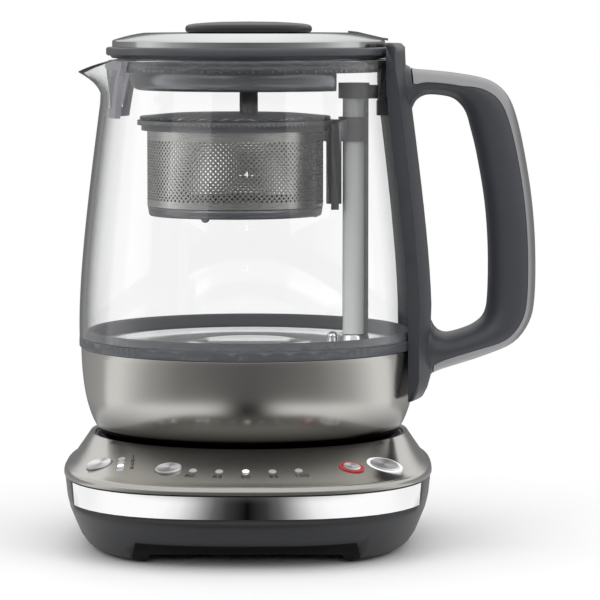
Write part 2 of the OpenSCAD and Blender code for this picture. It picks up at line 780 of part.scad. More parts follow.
module temperature_probe() {
    top = floor_z + 6.2;
    color("#a7a8aa") on_jug() translate([probe_x(), -4, 0]) union() {
        translate([0, 0, floor_z - 5]) cylinder(r = 2.05, h = 6.8);
        translate([0, 0, floor_z + floor_t]) cylinder(r = 2.6, h = top - floor_z - floor_t - 2.6);
        translate([0, 0, top - 2.6]) sphere(r = 2.6);
    }
}

module post_tube() {
    color("#cfd0d2") on_post() translate([0, 0, tube_z])
        tube(post_r, post_r - post_t, post_top - tube_z - 1.2);
}

// The rail lies along the tube on the handle's side
module post_rail() {
    low = floor_z + floor_t + 4;
    color("#4a4b4e") on_post() difference() {
        translate([0, -rail_d / 2, low])
            cube([post_r + rail_w, rail_d, post_top - 7 - low]);
        translate([0, 0, low - 1]) cylinder(r = post_r + 0.05, h = post_top);
    }
}

module post_foot() {
    low = floor_z + floor_t;
    color("#3d3e41") on_post() difference() {
        union() {
            translate([0, 0, low]) cylinder(r1 = post_r + 2.2, r2 = post_r + 1.4, h = 3.8);
            translate([0, 0, floor_z - 6]) cylinder(r = post_r + 2.6, h = 6 - seam, $fn = 6);
        }
        translate([0, 0, floor_z - 7]) cylinder(r = post_r + running, h = 20);
    }
}

module post_clamp() {
    h = 6.9;
    low = post_top - h;
    reach = neck_r - glass_t - 1 - post_x;
    color("#5b5c60") on_post() difference() {
        union() {
            translate([0, 0, low]) cylinder(r = post_r + 1.9, h = h);
            translate([0, -5, low]) cube([reach - 4.2, 10, h - 1]);
        }
        translate([0, 0, low - 1]) cylinder(r = post_r + running, h = h - 0.2);
        translate([0, 0, low]) cylinder(r = screw_r + running, h = h + 1);
    }
}

// Bracket inside the neck that carries the post's clamp
module neck_bracket() {
    inner = neck_r - glass_t;
    color("#47484c") on_jug() union() {
        sector(6.5) polygon([[inner - 4.4, rim_top - 18], [inner - 0.1, rim_top - 18],
            [inner - 0.1, rim_top - 3], [inner - 1.6, rim_top - 0.6], [inner - 3.2, rim_top - 0.6],
            [inner - 4.4, rim_top - 14]]);
        sector(5.2) polygon([[inner - 5.1, rim_top - 25], [inner - 0.7, rim_top - 25],
            [inner - 0.7, rim_top - 17], [inner - 3.5, rim_top - 17], [inner - 5.1, rim_top - 18.5]]);
    }
}

// Handle -------------------------------------------------------------------------------

// Side view of the spine: the glass's own curve inside, the same curve moved out outside
module spine_profile() {
    curve = bezier_points(glass_curve, 12);
    flush = body_r + 1.1;
    top = rim_top + 6.8;
    gap = slide_gap;
    polygon(concat([[flush, spine_foot]], [[flush, glass_z + 4]],
        [for (i = [2 : 12]) [curve[i][0] + gap, curve[i][1]]],
        [[neck_r + gap, rim_top - 9], [neck_r + gap, top - 1.2], [neck_r + gap + 1, top],
        [neck_r + gap + 2.4, top], [neck_r + gap + 4, top - 1.6], [neck_r + gap + 4.4, rim_top - 4]],
        reversed([for (i = [2 : 12]) [curve[i][0] + gap + spine_t - 0.03 * (12 - i), curve[i][1]]]),
        [[flush + 5.2, glass_z + 4], [flush + 5.2, spine_foot + 9], [flush + 3.8, spine_foot + 4],
        [flush + 2, spine_foot + 0.6], [flush + 1, spine_foot]]));
}

module handle_spine() {
    color("#46484c") on_jug() sector(spine_angle) spine_profile();
}

grip_line = through(grip_pairs, 3);
grip_points = 24;

// One ring of the grip: a rounded section between the outer and the inner edge, drawn in
// over the trim's stretch by the thickness given
function grip_ring(p, s, draw, share) = let (
    outer = [p[0] + handle_reach, p[1]], inner = [p[2] + handle_reach - grip_d, p[3]],
    mid = (outer + inner) / 2, half = (outer - inner) / 2, along = half / norm(half),
    w = grip_w / 2 * (1 + 0.22 * pow(abs(2 * s - 1), 3)))
    [for (i = [0 : grip_points - 1]) let (a = i * 360 / grip_points,
        c = cos(a), sn = sin(a), k = pow(pow(abs(c), 2.6) + pow(abs(sn), 2.6), -1 / 2.6),
        d = c > share ? draw : 0,
        q = mid + along * (norm(half) - d) * k * c)
        [q[0], (w - d) * k * sn, q[1]]];

function line_share(i) = i / (len(grip_line) - 1);

module handle_grip() {
    color("#3a3b3f") on_jug() difference() {
        loft([for (i = [0 : len(grip_line) - 1])
            grip_ring(grip_line[i], line_share(i), in_trim(i) ? trim_t + 0.1 : 0, trim_share)]);
        rotate_extrude() polygon(concat([[0, 0], [body_r + 6.4, 0], [body_r + 6.4, glass_z + 4]],
            moved([for (i = [2 : 12]) bezier_points(glass_curve, 12)[i]], slide_gap + spine_t + 0.1, 0),
            [[neck_r + slide_gap + 4.5, rim_top - 4], [neck_r + slide_gap + 4.5, rim_top + 20],
            [0, rim_top + 20]]));
    }
}

trim_share = 0.6;
trim_first = 7;
trim_last = 42;
function in_trim(i) = i > trim_first && i < trim_last;

// The trim fills the stretch that the grip leaves, over the outer side
module handle_trim() {
    n = grip_points;
    steps = [for (i = [0 : n - 1]) if (cos(i * 360 / n) > trim_share) i > n / 2 ? i - n : i];
    low = min(steps);
    high = max(steps);
    color("#77767a") on_jug() loft([for (i = [trim_first + 1 : trim_last - 1])
        let (out = grip_ring(grip_line[i], line_share(i), 0, trim_share),
            back = grip_ring(grip_line[i], line_share(i), trim_t, trim_share))
        concat([for (j = [low : high]) out[(j + n) % n]],
            [for (j = [high : -1 : low]) back[(j + n) % n]])]);
}

// Spout filter -------------------------------------------------------------------------

// A curved plate seen from the axis, wider at the top than at the lower end
module filter_plate(outer, thick, shrink) {
    top = rim_top - 0.6 - shrink;
    low = rim_top - 0.6 - filter_h + shrink;
    top_y = outer * sin(filter_top_angle) - shrink;
    low_y = outer * sin(filter_low_angle) - shrink;
    intersection() {
        sector(40, 180) translate([outer - thick, low]) square([thick, top - low]);
        translate([-100, 0, 0]) rotate([90, 0, 90]) linear_extrude(100)
            polygon([[-low_y, low], [low_y, low], [top_y, top], [-top_y, top]]);
    }
}

module filter_frame() {
    outer = neck_r - glass_t - slide_gap;
    color("#8d8b96") on_jug() difference() {
        filter_plate(outer, filter_t, 0);
        filter_plate(outer + 1, filter_t + 2, 4);
    }
}

module filter_mesh() {
    outer = neck_r - glass_t - slide_gap - filter_t / 2 + 0.2;
    color("#c2c3c6") on_jug() difference() {
        filter_plate(outer, 0.4, 4.05);
        for (row = [0 : 4], a = [-18 + 3 * (row % 2) : 6 : 18]) rotate([0, 0, 180 + a])
            translate([outer - 5, 0, rim_top - 8 - 3.2 * row]) rotate([0, 90, 0])
            cylinder(r = 0.9, h = 10);
    }
}

// Drive --------------------------------------------------------------------------------

module drive_motor() {
    color("#9a9b9e") on_jug() translate([motor_x, 0, 0]) difference() {
        union() {
            translate([0, 0, 3.8]) cylinder(r = motor_r, h = bracket_z - seam - 3.8);
            translate([0, 0, bracket_z - 1]) cylinder(r = 3, h = 2.6);
        }
        translate([0, 0, bracket_z - 8]) cylinder(r = 1 + running, h = 12);
    }
}

module gear_bracket() {
    plate_t = 2;
    color("#5d5f63") on_jug() difference() {
        union() {
            translate([motor_x, 0, bracket_z]) cylinder(r = motor_r + 1, h = plate_t);
            translate([post_x, 0, bracket_z]) cylinder(r = 5.5, h = plate_t);
            translate([motor_x, -5.5, bracket_z]) cube([post_x - motor_x, 11, plate_t]);
            for (s = [-1, 1]) {
                translate([motor_x + 7, s * 13, 3.8]) cylinder(r = 2.4, h = bracket_z + plate_t - 3.8);
                translate([motor_x + 4.6, s < 0 ? -13 : 5, bracket_z]) cube([4.8, 8, plate_t]);
            }
            translate([post_x, 0, bracket_z - 3]) cylinder(r = 3.6, h = 4);
        }
        translate([post_x, 0, 0]) cylinder(r = screw_r + running, h = 60);
        translate([motor_x, 0, 0]) cylinder(r = 3 + seam / 2, h = 60);
    }
}

// Involute of a base circle, rolled off by an angle
function involute(base, roll) = let (u = roll * PI / 180)
    base * [cos(roll) + u * sin(roll), sin(roll) - u * cos(roll)];

function turned(p, a) = [p[0] * cos(a) - p[1] * sin(a), p[0] * sin(a) + p[1] * cos(a)];

module gear_shape(teeth, bore, play) {
    pitch = gear_module * teeth / 2;
    base = pitch * cos(20);
    tip = pitch + 0.8 * gear_module;
    root = pitch - 1.2 * gear_module;
    end = sqrt(tip * tip / (base * base) - 1) * 180 / PI;
    start = root > base ? sqrt(root * root / (base * base) - 1) * 180 / PI : 0;
    flank = [for (i = [0 : 5]) involute(base, lerp(start, end, i / 5))];
    at_pitch = involute(base, sqrt(pitch * pitch / (base * base) - 1) * 180 / PI);
    half = 90 / teeth - play / 2 / pitch * 180 / PI + atan2(at_pitch[1], at_pitch[0]);
    low = start > 0 ? [] : [turned([root, 0], -half)];
    side = concat(low, [for (p = flank) turned(p, -half)]);
    tooth = concat(side, [for (p = reversed(side)) [p[0], -p[1]]]);
    difference() {
        polygon([for (k = [0 : teeth - 1]) each [for (p = tooth) turned(p, k * 360 / teeth)]]);
        circle(r = bore);
    }
}

module lead_screw() {
    color("#b5b6b8") on_post() translate([0, 0, bracket_z - 2])
        cylinder(r = screw_r, h = post_top - bracket_z + 1);
}

module screw_gear() {
    color("#e8e4d8") on_post() union() {
        translate([0, 0, gear_z]) linear_extrude(gear_w)
            rotate(180 / gear_teeth * (gear_teeth % 2 == 0 ? 1 : 0))
            gear_shape(gear_teeth, screw_r + 0.01, backlash / 2);
        translate([0, 0, gear_z + gear_w - e]) tube(screw_r + 2, screw_r + 0.01, 2);
    }
}

module motor_pinion() {
    color("#e8e4d8") on_jug() translate([motor_x, 0, 0]) union() {
        translate([0, 0, gear_z]) linear_extrude(gear_w) gear_shape(pinion_teeth, 0.9, backlash / 2);
        translate([0, 0, bracket_z - 7]) cylinder(r = 1, h = gear_z + gear_w - bracket_z + 7);
    }
}

module magnet_carriage() {
    color("#8e9094") on_post() translate([0, 0, basket_z + 12])
        tube(post_r - post_t - slide_gap, screw_r + 0.25, 22);
}

// Lid ----------------------------------------------------------------------------------

module lid_knob() {
    top = lid_z + cover_h + knob_h;
    low = lid_z + cover_h + 0.1;
    color("#232325") on_jug() rotate_extrude() polygon(concat([[0, low], [knob_r - 0.6, low]],
        [for (a = [-30 : 15 : 90]) [knob_r - 1.6 + 1.6 * cos(a), top - 2.6 + 1.6 * sin(a)]],
        [[knob_r - 8, top - 0.5], [knob_r - 18, top - 0.1], [0, top]]));
}

module lid_cover() {
    t = 0.9;
    top = lid_z + cover_h;
    color("#c9cacc") on_jug() rotate_extrude() polygon([[cover_r - t, lid_z + 0.1],
        [cover_r, lid_z + 0.1], [cover_r, lid_z + 2.2], [cover_r - 0.6, lid_z + 2.8],
        [plateau_r + 2, top - 0.5], [plateau_r, top], [0, top], [0, top - t], [plateau_r, top - t],
        [cover_r - 0.6 - t, lid_z + 2.8 - t], [cover_r - t, lid_z + 2.2 - t]]);
}

module lid_flange() {
    color("#46474b") on_jug() rotate_extrude() polygon([[0, flange_z],
        [flange_r - 0.8, flange_z], [flange_r, flange_z + 0.9], [flange_r, lid_z - 1.2],
        [flange_r - 1.2, lid_z], [cover_r - 3, lid_z], [cover_r - 5, flange_z + 2],
        [0, flange_z + 2]]);
}

// The plug's lower step is cut away beside the post; its inside is drawn in by a wall
module plug_form(inset) {
    step_z = flange_z - 6;
    cut_x = post_x - post_r - 1.9 - 1.6;
    round_r = 4.5 - inset;
    low_r = plug_step_r - 4.5;
    translate([0, 0, step_z + inset]) cylinder(r = plug_r - 0.6 - inset, h = 6 - 0.05);
    difference() {
        rotate_extrude() polygon(concat([[0, plug_z + inset], [low_r, plug_z + inset]],
            [for (a = [-75 : 15 : 0]) [low_r + round_r * cos(a), plug_z + 4.5 + round_r * sin(a)]],
            [[plug_step_r - inset, step_z + inset + e], [0, step_z + inset + e]]));
        translate([cut_x - inset, -100, plug_z - 1]) cube([100, 200, step_z + inset - plug_z + 1]);
    }
}

module lid_plug() {
    color("#a3a3ab") on_jug() difference() {
        plug_form(0);
        plug_form(2);
    }
}

module lid_seal() {
    low = flange_z - 4.6;
    color("#5c5d62") on_jug() difference() {
        rotate_extrude() polygon([[plug_r - 0.55, low], [plug_r, low],
            [plug_r, low + 1.4], [plug_r - 0.3, low + 1.8], [plug_r, low + 2.2], [plug_r, low + 3.6],
            [plug_r - 0.55, low + 3.6]]);
    }
}

module lid_tab() {
    top = lid_z + cover_h;
    color("#d0d1d3") on_jug() translate([0, -6, 0]) rotate([90, 0, 180]) mirror([1, 0, 0])
        linear_extrude(12) polygon([[plateau_r - 2, top + 0.1], [plateau_r, top + 0.1],
            [plateau_r + 2, top - 0.35], [cover_r - 0.6, top - 3.2], [cover_r + 1.2, top - 3.4],
            [cover_r + 1.2, top - 2.4], [cover_r - 0.8, top - 2.2], [plateau_r + 2, top + 0.5],
            [plateau_r - 2, top + 0.9]]);
}

// Basket -------------------------------------------------------------------------------

module basket_wall() {
    color("#bfc0c1") on_basket() translate([0, 0, 4.2])
        tube(basket_r, basket_r - basket_t, basket_h);
}

// Ring, sleeve, magnet housing and leg of the moulding that rides on the post
module basket_carrier() {
    top = 4.2 + basket_h + 2.5;
    sleeve_x = post_x + basket_offset;
    house_x = basket_r + 1.4;
    low_house = 5.1;
    color("#55575a") on_basket() difference() {
        union() {
            translate([0, 0, top - 4.5]) cylinder(r = basket_r + 2.6, h = 2.4);
            translate([0, 0, top - 2.1]) cylinder(r = basket_rim_r, h = 2.1);
            translate([house_x, -6, low_house])
                cube([sleeve_x - post_r - 0.6 - house_x, 12, top - low_house]);
            translate([sleeve_x, 0, top - 9.4]) cylinder(r = post_r + 1.9, h = 10.7);
            translate([basket_r, -6, top - 9.4]) cube([sleeve_x - basket_r, 12, 9.4]);
            translate([house_x + 2, -8.3, 2.6]) cube([3.4, 2.6, top - 4]);
        }
        translate([0, 0, -e]) cylinder(r = basket_r + 0.1, h = 100);
        translate([sleeve_x, 0, -1]) cylinder(r = post_r + slide_gap, h = 100);
        translate([sleeve_x, -rail_d / 2 - slide_gap, -1]) cube([20, rail_d + 2 * slide_gap, 100]);
        for (z = [10, 24]) magnet_pocket(z, 0.05);
    }
}

module magnet_pocket(z, grow) {
    translate([basket_r + 2.2 - grow, -3 - grow, z - grow])
        cube([2.6 + 2 * grow, 6 + 2 * grow, 11 + 2 * grow]);
}

module basket_magnets() {
    color("#8e9094") on_basket() for (z = [10, 24]) magnet_pocket(z, 0);
}

module basket_ring() {
    color("#55575a") on_basket() union() {
        rotate_extrude() polygon([[basket_r - 4, 0.6], [basket_r - 2.2, 0], [basket_r - 1, 0],
            [basket_r - 0.6, 1], [basket_r - 0.2, 4], [basket_r - basket_t - 0.05, 4],
            [basket_r - basket_t - 0.05, 7], [basket_r - 2, 7], [basket_r - 2, 3.4],
            [basket_r - 4, 3.4]]);
        for (a = [10, 130, 250]) rotate([0, 0, a]) translate([basket_r - 3, 0, 0.3])
            intersection() {
                sphere(r = 1.9, $fn = 32);
                translate([-5, -5, -5]) cube([10, 10, 5.2]);
            }
    }
}

module basket_mesh() {
    r = basket_r - 2.1;
    color("#bfc0c1") on_basket() translate([0, 0, 3.5]) linear_extrude(0.6) difference() {
        circle(r = r);
        for (ring = [1 : 6], k = [0 : 6 * ring - 1]) rotate(k * 60 / ring) translate([ring * 5, 0])
            circle(r = hole_r, $fn = 24);
    }
}

module basket_lid() {
    low = 4.2 + basket_h + 2.6;
    color("#55575a") on_basket() union() {
        rotate_extrude() polygon([[0, low], [basket_rim_r - 1.6, low], [basket_rim_r - 1, low + 0.6],
            [basket_rim_r - 1.4, low + 1.6], [basket_rim_r - 14, low + 2.7], [0, low + 3]]);
        translate([basket_offset, 0, low + 2]) cylinder(d = stem_w, h = stem_top - basket_z - low - 2);
    }
}

base_housing();
bottom_cover();
rubber_pads();
chrome_band();
top_shell();
seat_dish();
power_connector();
connector_contacts();
control_board();
tact_switches();
lights();
warm_ring();
start_ring();
cord_inlet();
power_board();
strength_button();
select_button();
warm_button();
start_button();
jug_socket();
glass_jug();
collar_ring();
metal_shell();
jug_bottom();
floor_plate();
floor_seal();
heating_element();
temperature_probe();
post_tube();
post_rail();
post_foot();
post_clamp();
neck_bracket();
handle_spine();
handle_grip();
handle_trim();
filter_frame();
filter_mesh();
drive_motor();
gear_bracket();
lead_screw();
screw_gear();
motor_pinion();
magnet_carriage();
lid_knob();
lid_cover();
lid_flange();
lid_plug();
lid_seal();
lid_tab();
basket_wall();
basket_carrier();
basket_ring();
basket_mesh();
basket_lid();
basket_magnets();
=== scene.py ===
import bpy
import json
import math
from mathutils import Matrix, Vector


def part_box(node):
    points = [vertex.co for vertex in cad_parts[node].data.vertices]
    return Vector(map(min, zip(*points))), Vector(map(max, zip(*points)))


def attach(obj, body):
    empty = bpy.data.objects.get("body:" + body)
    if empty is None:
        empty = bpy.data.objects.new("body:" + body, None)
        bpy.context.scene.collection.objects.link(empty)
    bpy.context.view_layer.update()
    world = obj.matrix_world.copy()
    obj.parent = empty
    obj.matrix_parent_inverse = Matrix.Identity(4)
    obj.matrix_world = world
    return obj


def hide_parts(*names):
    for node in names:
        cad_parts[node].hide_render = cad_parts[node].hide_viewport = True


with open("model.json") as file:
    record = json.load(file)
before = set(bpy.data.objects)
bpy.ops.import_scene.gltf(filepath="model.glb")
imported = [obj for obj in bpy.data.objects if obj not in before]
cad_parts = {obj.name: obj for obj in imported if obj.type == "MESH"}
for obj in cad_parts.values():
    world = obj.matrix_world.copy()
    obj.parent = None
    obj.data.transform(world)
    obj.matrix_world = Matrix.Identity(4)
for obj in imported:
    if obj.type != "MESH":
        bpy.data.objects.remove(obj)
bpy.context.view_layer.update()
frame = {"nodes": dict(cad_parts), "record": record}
mm = 0.001

# where things are, as in the part's source
place = {"jugX": -0.0234, "jugY": 0.0175, "jugZ": 0.040, "basketX": -0.006,
         "baseW": 0.161, "baseD": 0.189, "baseSquare": 2.7}
axis = Vector((place["jugX"], place["jugY"], 0))
looks = {}
mergeGap = 0.00002
studioWhite = (1, 1, 1, 1)
bodyOf = {n: b for b, names in frame["record"]["behaviour"]["bodies"].items() for n in names}
slotOf = {p["node"]: p["material_slot"] for p in frame["record"]["subparts"]}


def deselect():
    if bpy.context.mode != 'OBJECT':
        bpy.ops.object.mode_set(mode='OBJECT')
    bpy.ops.object.select_all(action='DESELECT')


def pick(obj):
    deselect()
    obj.select_set(True)
    bpy.context.view_layer.objects.active = obj


def settle(obj):
    # place goes into the mesh, the object sits at the origin
    pick(obj)
    bpy.ops.object.transform_apply(location=True, rotation=True, scale=True)


def applyAll(obj):
    pick(obj)
    for m in list(obj.modifiers):
        bpy.ops.object.modifier_apply(modifier=m.name)


def smooth(obj, angle=35):
    pick(obj)
    bpy.ops.object.shade_smooth_by_angle(angle=math.radians(angle))


def called(obj, name):
    obj.name = name
    obj.data.name = name
    return obj


def bevelEdges(obj, width, segments, angle):
    edge = obj.modifiers.new("edge", 'BEVEL')
    edge.width = width
    edge.segments = segments
    edge.limit_method = 'ANGLE'
    edge.angle_limit = math.radians(angle)
    applyAll(obj)


def spans(obj):
    # lowest and highest corner along x, y and z
    return [(min(v.co[k] for v in obj.data.vertices), max(v.co[k] for v in obj.data.vertices))
            for k in range(3)]


def tidyMesh(obj, gap=mergeGap):
    pick(obj)
    bpy.ops.object.mode_set(mode='EDIT')
    bpy.ops.mesh.select_all(action='SELECT')
    bpy.ops.mesh.remove_doubles(threshold=gap)
    bpy.ops.mesh.normals_make_consistent(inside=False)
    bpy.ops.object.mode_set(mode='OBJECT')


def pickVerts(obj, test):
    # leaves the piece in edit mode with the corners that pass the test selected
    pick(obj)
    bpy.ops.object.mode_set(mode='EDIT')
    bpy.ops.mesh.select_mode(type='VERT')
    bpy.ops.mesh.select_all(action='DESELECT')
    bpy.ops.object.mode_set(mode='OBJECT')
    for v in obj.data.vertices:
        v.select = test(v.co)
    bpy.ops.object.mode_set(mode='EDIT')


def finishPiece(obj, body, slot, look, *nodes):
    obj.data.materials.clear()
    obj.data.materials.append(looks[look])
    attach(obj, body)
    if nodes:
        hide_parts(*nodes)
    return obj


# shader groups

def newGroup(name, ins, outs):
    g = bpy.data.node_groups.new(name, 'ShaderNodeTree')
    for label, kind, value in ins:
        s = g.interface.new_socket(name=label, in_out='INPUT', socket_type=kind)
        if value is not None:
            s.default_value = value
    for label, kind in outs:
        g.interface.new_socket(name=label, in_out='OUTPUT', socket_type=kind)
    a = g.nodes.new('NodeGroupInput')
    b = g.nodes.new('NodeGroupOutput')
    return g, a, b


def mathNode(tree, kind, a, b=None, c=None, clamp=False):
    n = tree.nodes.new('ShaderNodeMath')
    n.operation = kind
    n.use_clamp = clamp
    for i, v in enumerate((a, b, c)):
        if v is None:
            continue
        if isinstance(v, (int, float)):
            n.inputs[i].default_value = v
        else:
            tree.links.new(v, n.inputs[i])
    return n.outputs[0]


def flatLength(tree, x, y):
    return mathNode(tree, 'SQRT', mathNode(tree, 'ADD', mathNode(tree, 'MULTIPLY', x, x),
                                           mathNode(tree, 'MULTIPLY', y, y)))


def rampNode(tree, value, stops):
    ramp = tree.nodes.new('ShaderNodeValToRGB')
    e = ramp.color_ramp.elements
    for i, (where, tint) in enumerate(stops):
        if i < 2:
            e[i].position = where
        else:
            e.new(where)
    for i, (where, tint) in enumerate(stops):
        e[i].position = where
        e[i].color = tint
    tree.links.new(value, ramp.inputs['Fac'])
    return ramp.outputs['Color']


def splitNode(tree, vector):
    n = tree.nodes.new('ShaderNodeSeparateXYZ')
    tree.links.new(vector, n.inputs[0])
    return n.outputs


def shadeNode(tree, tint, share):
    n = tree.nodes.new('ShaderNodeVectorMath')
    n.operation = 'SCALE'
    tree.links.new(tint, n.inputs[0])
    tree.links.new(share, n.inputs['Scale'])
    return n.outputs[0]


def noiseNode(tree, vector, detail, scale=None):
    n = tree.nodes.new('ShaderNodeTexNoise')
    n.inputs['Detail'].default_value = detail
    tree.links.new(vector, n.inputs['Vector'])
    if scale is None:
        n.inputs['Scale'].default_value = 1.0
    else:
        tree.links.new(scale, n.inputs['Scale'])
    return n.outputs['Fac']


def smoothStep(tree, value, low, high, least=0.0):
    ramp = tree.nodes.new('ShaderNodeMapRange')
    ramp.interpolation_type = 'SMOOTHSTEP'
    ramp.inputs['From Min'].default_value = low
    ramp.inputs['From Max'].default_value = high
    ramp.inputs['To Min'].default_value = least
    tree.links.new(value, ramp.inputs['Value'])
    return ramp.outputs[0]


def mixInto(tree, end, fac, a, b):
    # a where fac is 0, b where it is 1, into the output node
    mix = tree.nodes.new('ShaderNodeMixShader')
    tree.links.new(fac, mix.inputs['Fac'])
    tree.links.new(a.outputs[0], mix.inputs[1])
    tree.links.new(b.outputs[0], mix.inputs[2])
    tree.links.new(mix.outputs[0], tree.nodes[end].inputs['Surface'])


groupEnds = [('Color', 'NodeSocketColor'), ('Roughness', 'NodeSocketFloat'), ('Height', 'NodeSocketFloat')]


def groupIns(tint, sizes, rough, spread, tintSpread):
    ins = [('Vector', 'NodeSocketVector', None), ('Color', 'NodeSocketColor', tint)]
    floats = sizes + [('Roughness', rough), ('Roughness Spread', spread), ('Tint Spread', tintSpread)]
    return ins + [(label, 'NodeSocketFloat', value) for label, value in floats]


def buildGrain():
    # moulded or painted skin: fine grain, soft smudges, a little tint change
    sizes = [('Grain Size', 0.0005), ('Smudge Size', 0.02)]
    g, a, b = newGroup('skinGrain', groupIns((0.5, 0.5, 0.5, 1), sizes, 0.4, 0.08, 0.04), groupEnds)
    fine = noiseNode(g, a.outputs['Vector'], 2, mathNode(g, 'DIVIDE', 1.0, a.outputs['Grain Size']))
    big = noiseNode(g, a.outputs['Vector'], 4, mathNode(g, 'DIVIDE', 1.0, a.outputs['Smudge Size']))
    spread = mathNode(g, 'SUBTRACT', big, 0.5)
    rough = mathNode(g, 'MULTIPLY_ADD', spread, a.outputs['Roughness Spread'], a.outputs['Roughness'], True)
    fineShare = 0.6
    fineOff = mathNode(g, 'MULTIPLY', mathNode(g, 'SUBTRACT', fine, 0.5), fineShare)
    gain = mathNode(g, 'MULTIPLY_ADD', mathNode(g, 'ADD', spread, fineOff), a.outputs['Tint Spread'], 1.0)
    g.links.new(rough, b.inputs['Roughness'])
    g.links.new(shadeNode(g, a.outputs['Color'], gain), b.inputs['Color'])
    g.links.new(fine, b.inputs['Height'])
    return g


def buildBrush():
    # brushed or turned metal: streaks round an axis, with finer and coarser lines
    sizes = [('Line Size', 0.0004), ('Line Length', 0.03)]
    g, a, b = newGroup('turnedLines', groupIns((0.7, 0.7, 0.7, 1), sizes, 0.25, 0.1, 0.05), groupEnds)
    x, y, z = splitNode(g, a.outputs['Vector'])
    usualRadius = 0.06
    turn = mathNode(g, 'MULTIPLY', mathNode(g, 'ARCTAN2', y, x), usualRadius)
    join = g.nodes.new('ShaderNodeCombineXYZ')
    g.links.new(mathNode(g, 'DIVIDE', turn, a.outputs['Line Length']), join.inputs[0])
    across = mathNode(g, 'ADD', flatLength(g, x, y), z)
    g.links.new(mathNode(g, 'DIVIDE', across, a.outputs['Line Size']), join.inputs[1])
    noise = noiseNode(g, join.outputs[0], 3)
    off = mathNode(g, 'SUBTRACT', noise, 0.5)
    rough = mathNode(g, 'MULTIPLY_ADD', off, a.outputs['Roughness Spread'], a.outputs['Roughness'], True)
    gain = mathNode(g, 'MULTIPLY_ADD', off, a.outputs['Tint Spread'], 1.0)
    g.links.new(rough, b.inputs['Roughness'])
    g.links.new(shadeNode(g, a.outputs['Color'], gain), b.inputs['Color'])
    g.links.new(noise, b.inputs['Height'])
    return g


grainGroup = buildGrain()
brushGroup = buildBrush()


def color(hexText):
    v = [int(hexText[i:i + 2], 16) / 255 for i in (1, 3, 5)]
    return tuple(c / 12.92 if c <= 0.04045 else ((c + 0.055) / 1.055) ** 2.4 for c in v) + (1,)


def newLook(name):
    m = bpy.data.materials.new(name)
    m.use_nodes = True
    looks[name] = m
    return m, m.node_tree, m.node_tree.nodes['Principled BSDF']


def coords(tree, centre=(0, 0, 0)):
    c = tree.nodes.new('ShaderNodeTexCoord')
    shift = tree.nodes.new('ShaderNodeMapping')
    shift.inputs['Location'].default_value = [-v for v in centre]
    tree.links.new(c.outputs['Object'], shift.inputs['Vector'])
    return shift.outputs['Vector']


def bumpFrom(tree, height, depth, shader, distance):
    bump = tree.nodes.new('ShaderNodeBump')
    bump.inputs['Strength'].default_value = depth
    bump.inputs['Distance'].default_value = distance
    tree.links.new(height, bump.inputs['Height'])
    tree.links.new(bump.outputs['Normal'], shader.inputs['Normal'])


def groupNode(tree, group, at, tint, values):
    g = tree.nodes.new('ShaderNodeGroup')
    g.node_tree = group
    tree.links.new(at, g.inputs['Vector'])
    if isinstance(tint, tuple):
        g.inputs['Color'].default_value = tint
    else:
        tree.links.new(tint, g.inputs['Color'])
    for label, value in values.items():
        g.inputs[label].default_value = value
    return g.outputs


def wireShader(tree, tint, rough, shader):
    tree.links.new(tint, shader.inputs['Base Color'])
    tree.links.new(rough, shader.inputs['Roughness'])


skinUsual = {"grain": 0.0006, "smudge": 0.03, "rough": 0.4, "roughSpread": 0.1, "tint": 0.08, "depth": 0.1,
             "bumpSize": 0.0002, "metal": 0, "coat": 0, "coatRough": 0.1}


def plasticLook(name, given):
    s = {**skinUsual, **given}
    m, tree, p = newLook(name)
    g = groupNode(tree, grainGroup, coords(tree), color(s["color"]),
                  {'Grain Size': s["grain"], 'Smudge Size': s["smudge"], 'Roughness': s["rough"],
                   'Roughness Spread': s["roughSpread"], 'Tint Spread': s["tint"]})
    tint = g['Color']
    if "foot" in s:
        # the finish deepens down to the foot
        # painted shade: the metal is darkened towards its foot, nearly black down in the base's seat
        low, high, dark = s["foot"]
        tint = shadeNode(tree, tint, smoothStep(tree, splitNode(tree, coords(tree))[2], low, high, dark))
    wireShader(tree, tint, g['Roughness'], p)
    bumpFrom(tree, g['Height'], s["depth"], p, s["bumpSize"])
    p.inputs['Metallic'].default_value = s["metal"]
    p.inputs['Coat Weight'].default_value = s["coat"]
    p.inputs['Coat Roughness'].default_value = s["coatRough"]


turnedUsual = {"line": 0.0004, "length": 0.03, "rough": 0.25, "roughSpread": 0.1, "tint": 0.06, "depth": 0.05,
               "bumpSize": 0.0001, "metal": 1, "paintedGlintMean": 0.72, "paintedGlintSwing": 0.28}


def turnedLook(name, given):
    s = {**turnedUsual, **given}
    m, tree, p = newLook(name)
    g = groupNode(tree, brushGroup, coords(tree, s["centre"]), color(s["color"]),
                  {'Line Size': s["line"], 'Line Length': s["length"], 'Roughness': s["rough"],
                   'Roughness Spread': s["roughSpread"], 'Tint Spread': s["tint"]})
    tint = g['Color']
    if "paintedGlintSectors" in s:
        # painted highlight: fixed bright and dark sectors round the centre of a spun face, standing in for its
        # glints
        x, y, z = splitNode(tree, coords(tree, s["centre"]))
        turn = mathNode(tree, 'MULTIPLY_ADD', mathNode(tree, 'ARCTAN2', y, x), 2, s["paintedGlintSectors"])
        share = mathNode(tree, 'MULTIPLY_ADD', mathNode(tree, 'COSINE', turn), s["paintedGlintSwing"],
                         s["paintedGlintMean"])
        tint = shadeNode(tree, tint, share)
    wireShader(tree, tint, g['Roughness'], p)
    bumpFrom(tree, g['Height'], s["depth"], p, s["bumpSize"])
    p.inputs['Metallic'].default_value = s["metal"]


jugAxis = tuple(axis)
basketAxis = (axis.x + place["basketX"], axis.y, 0)

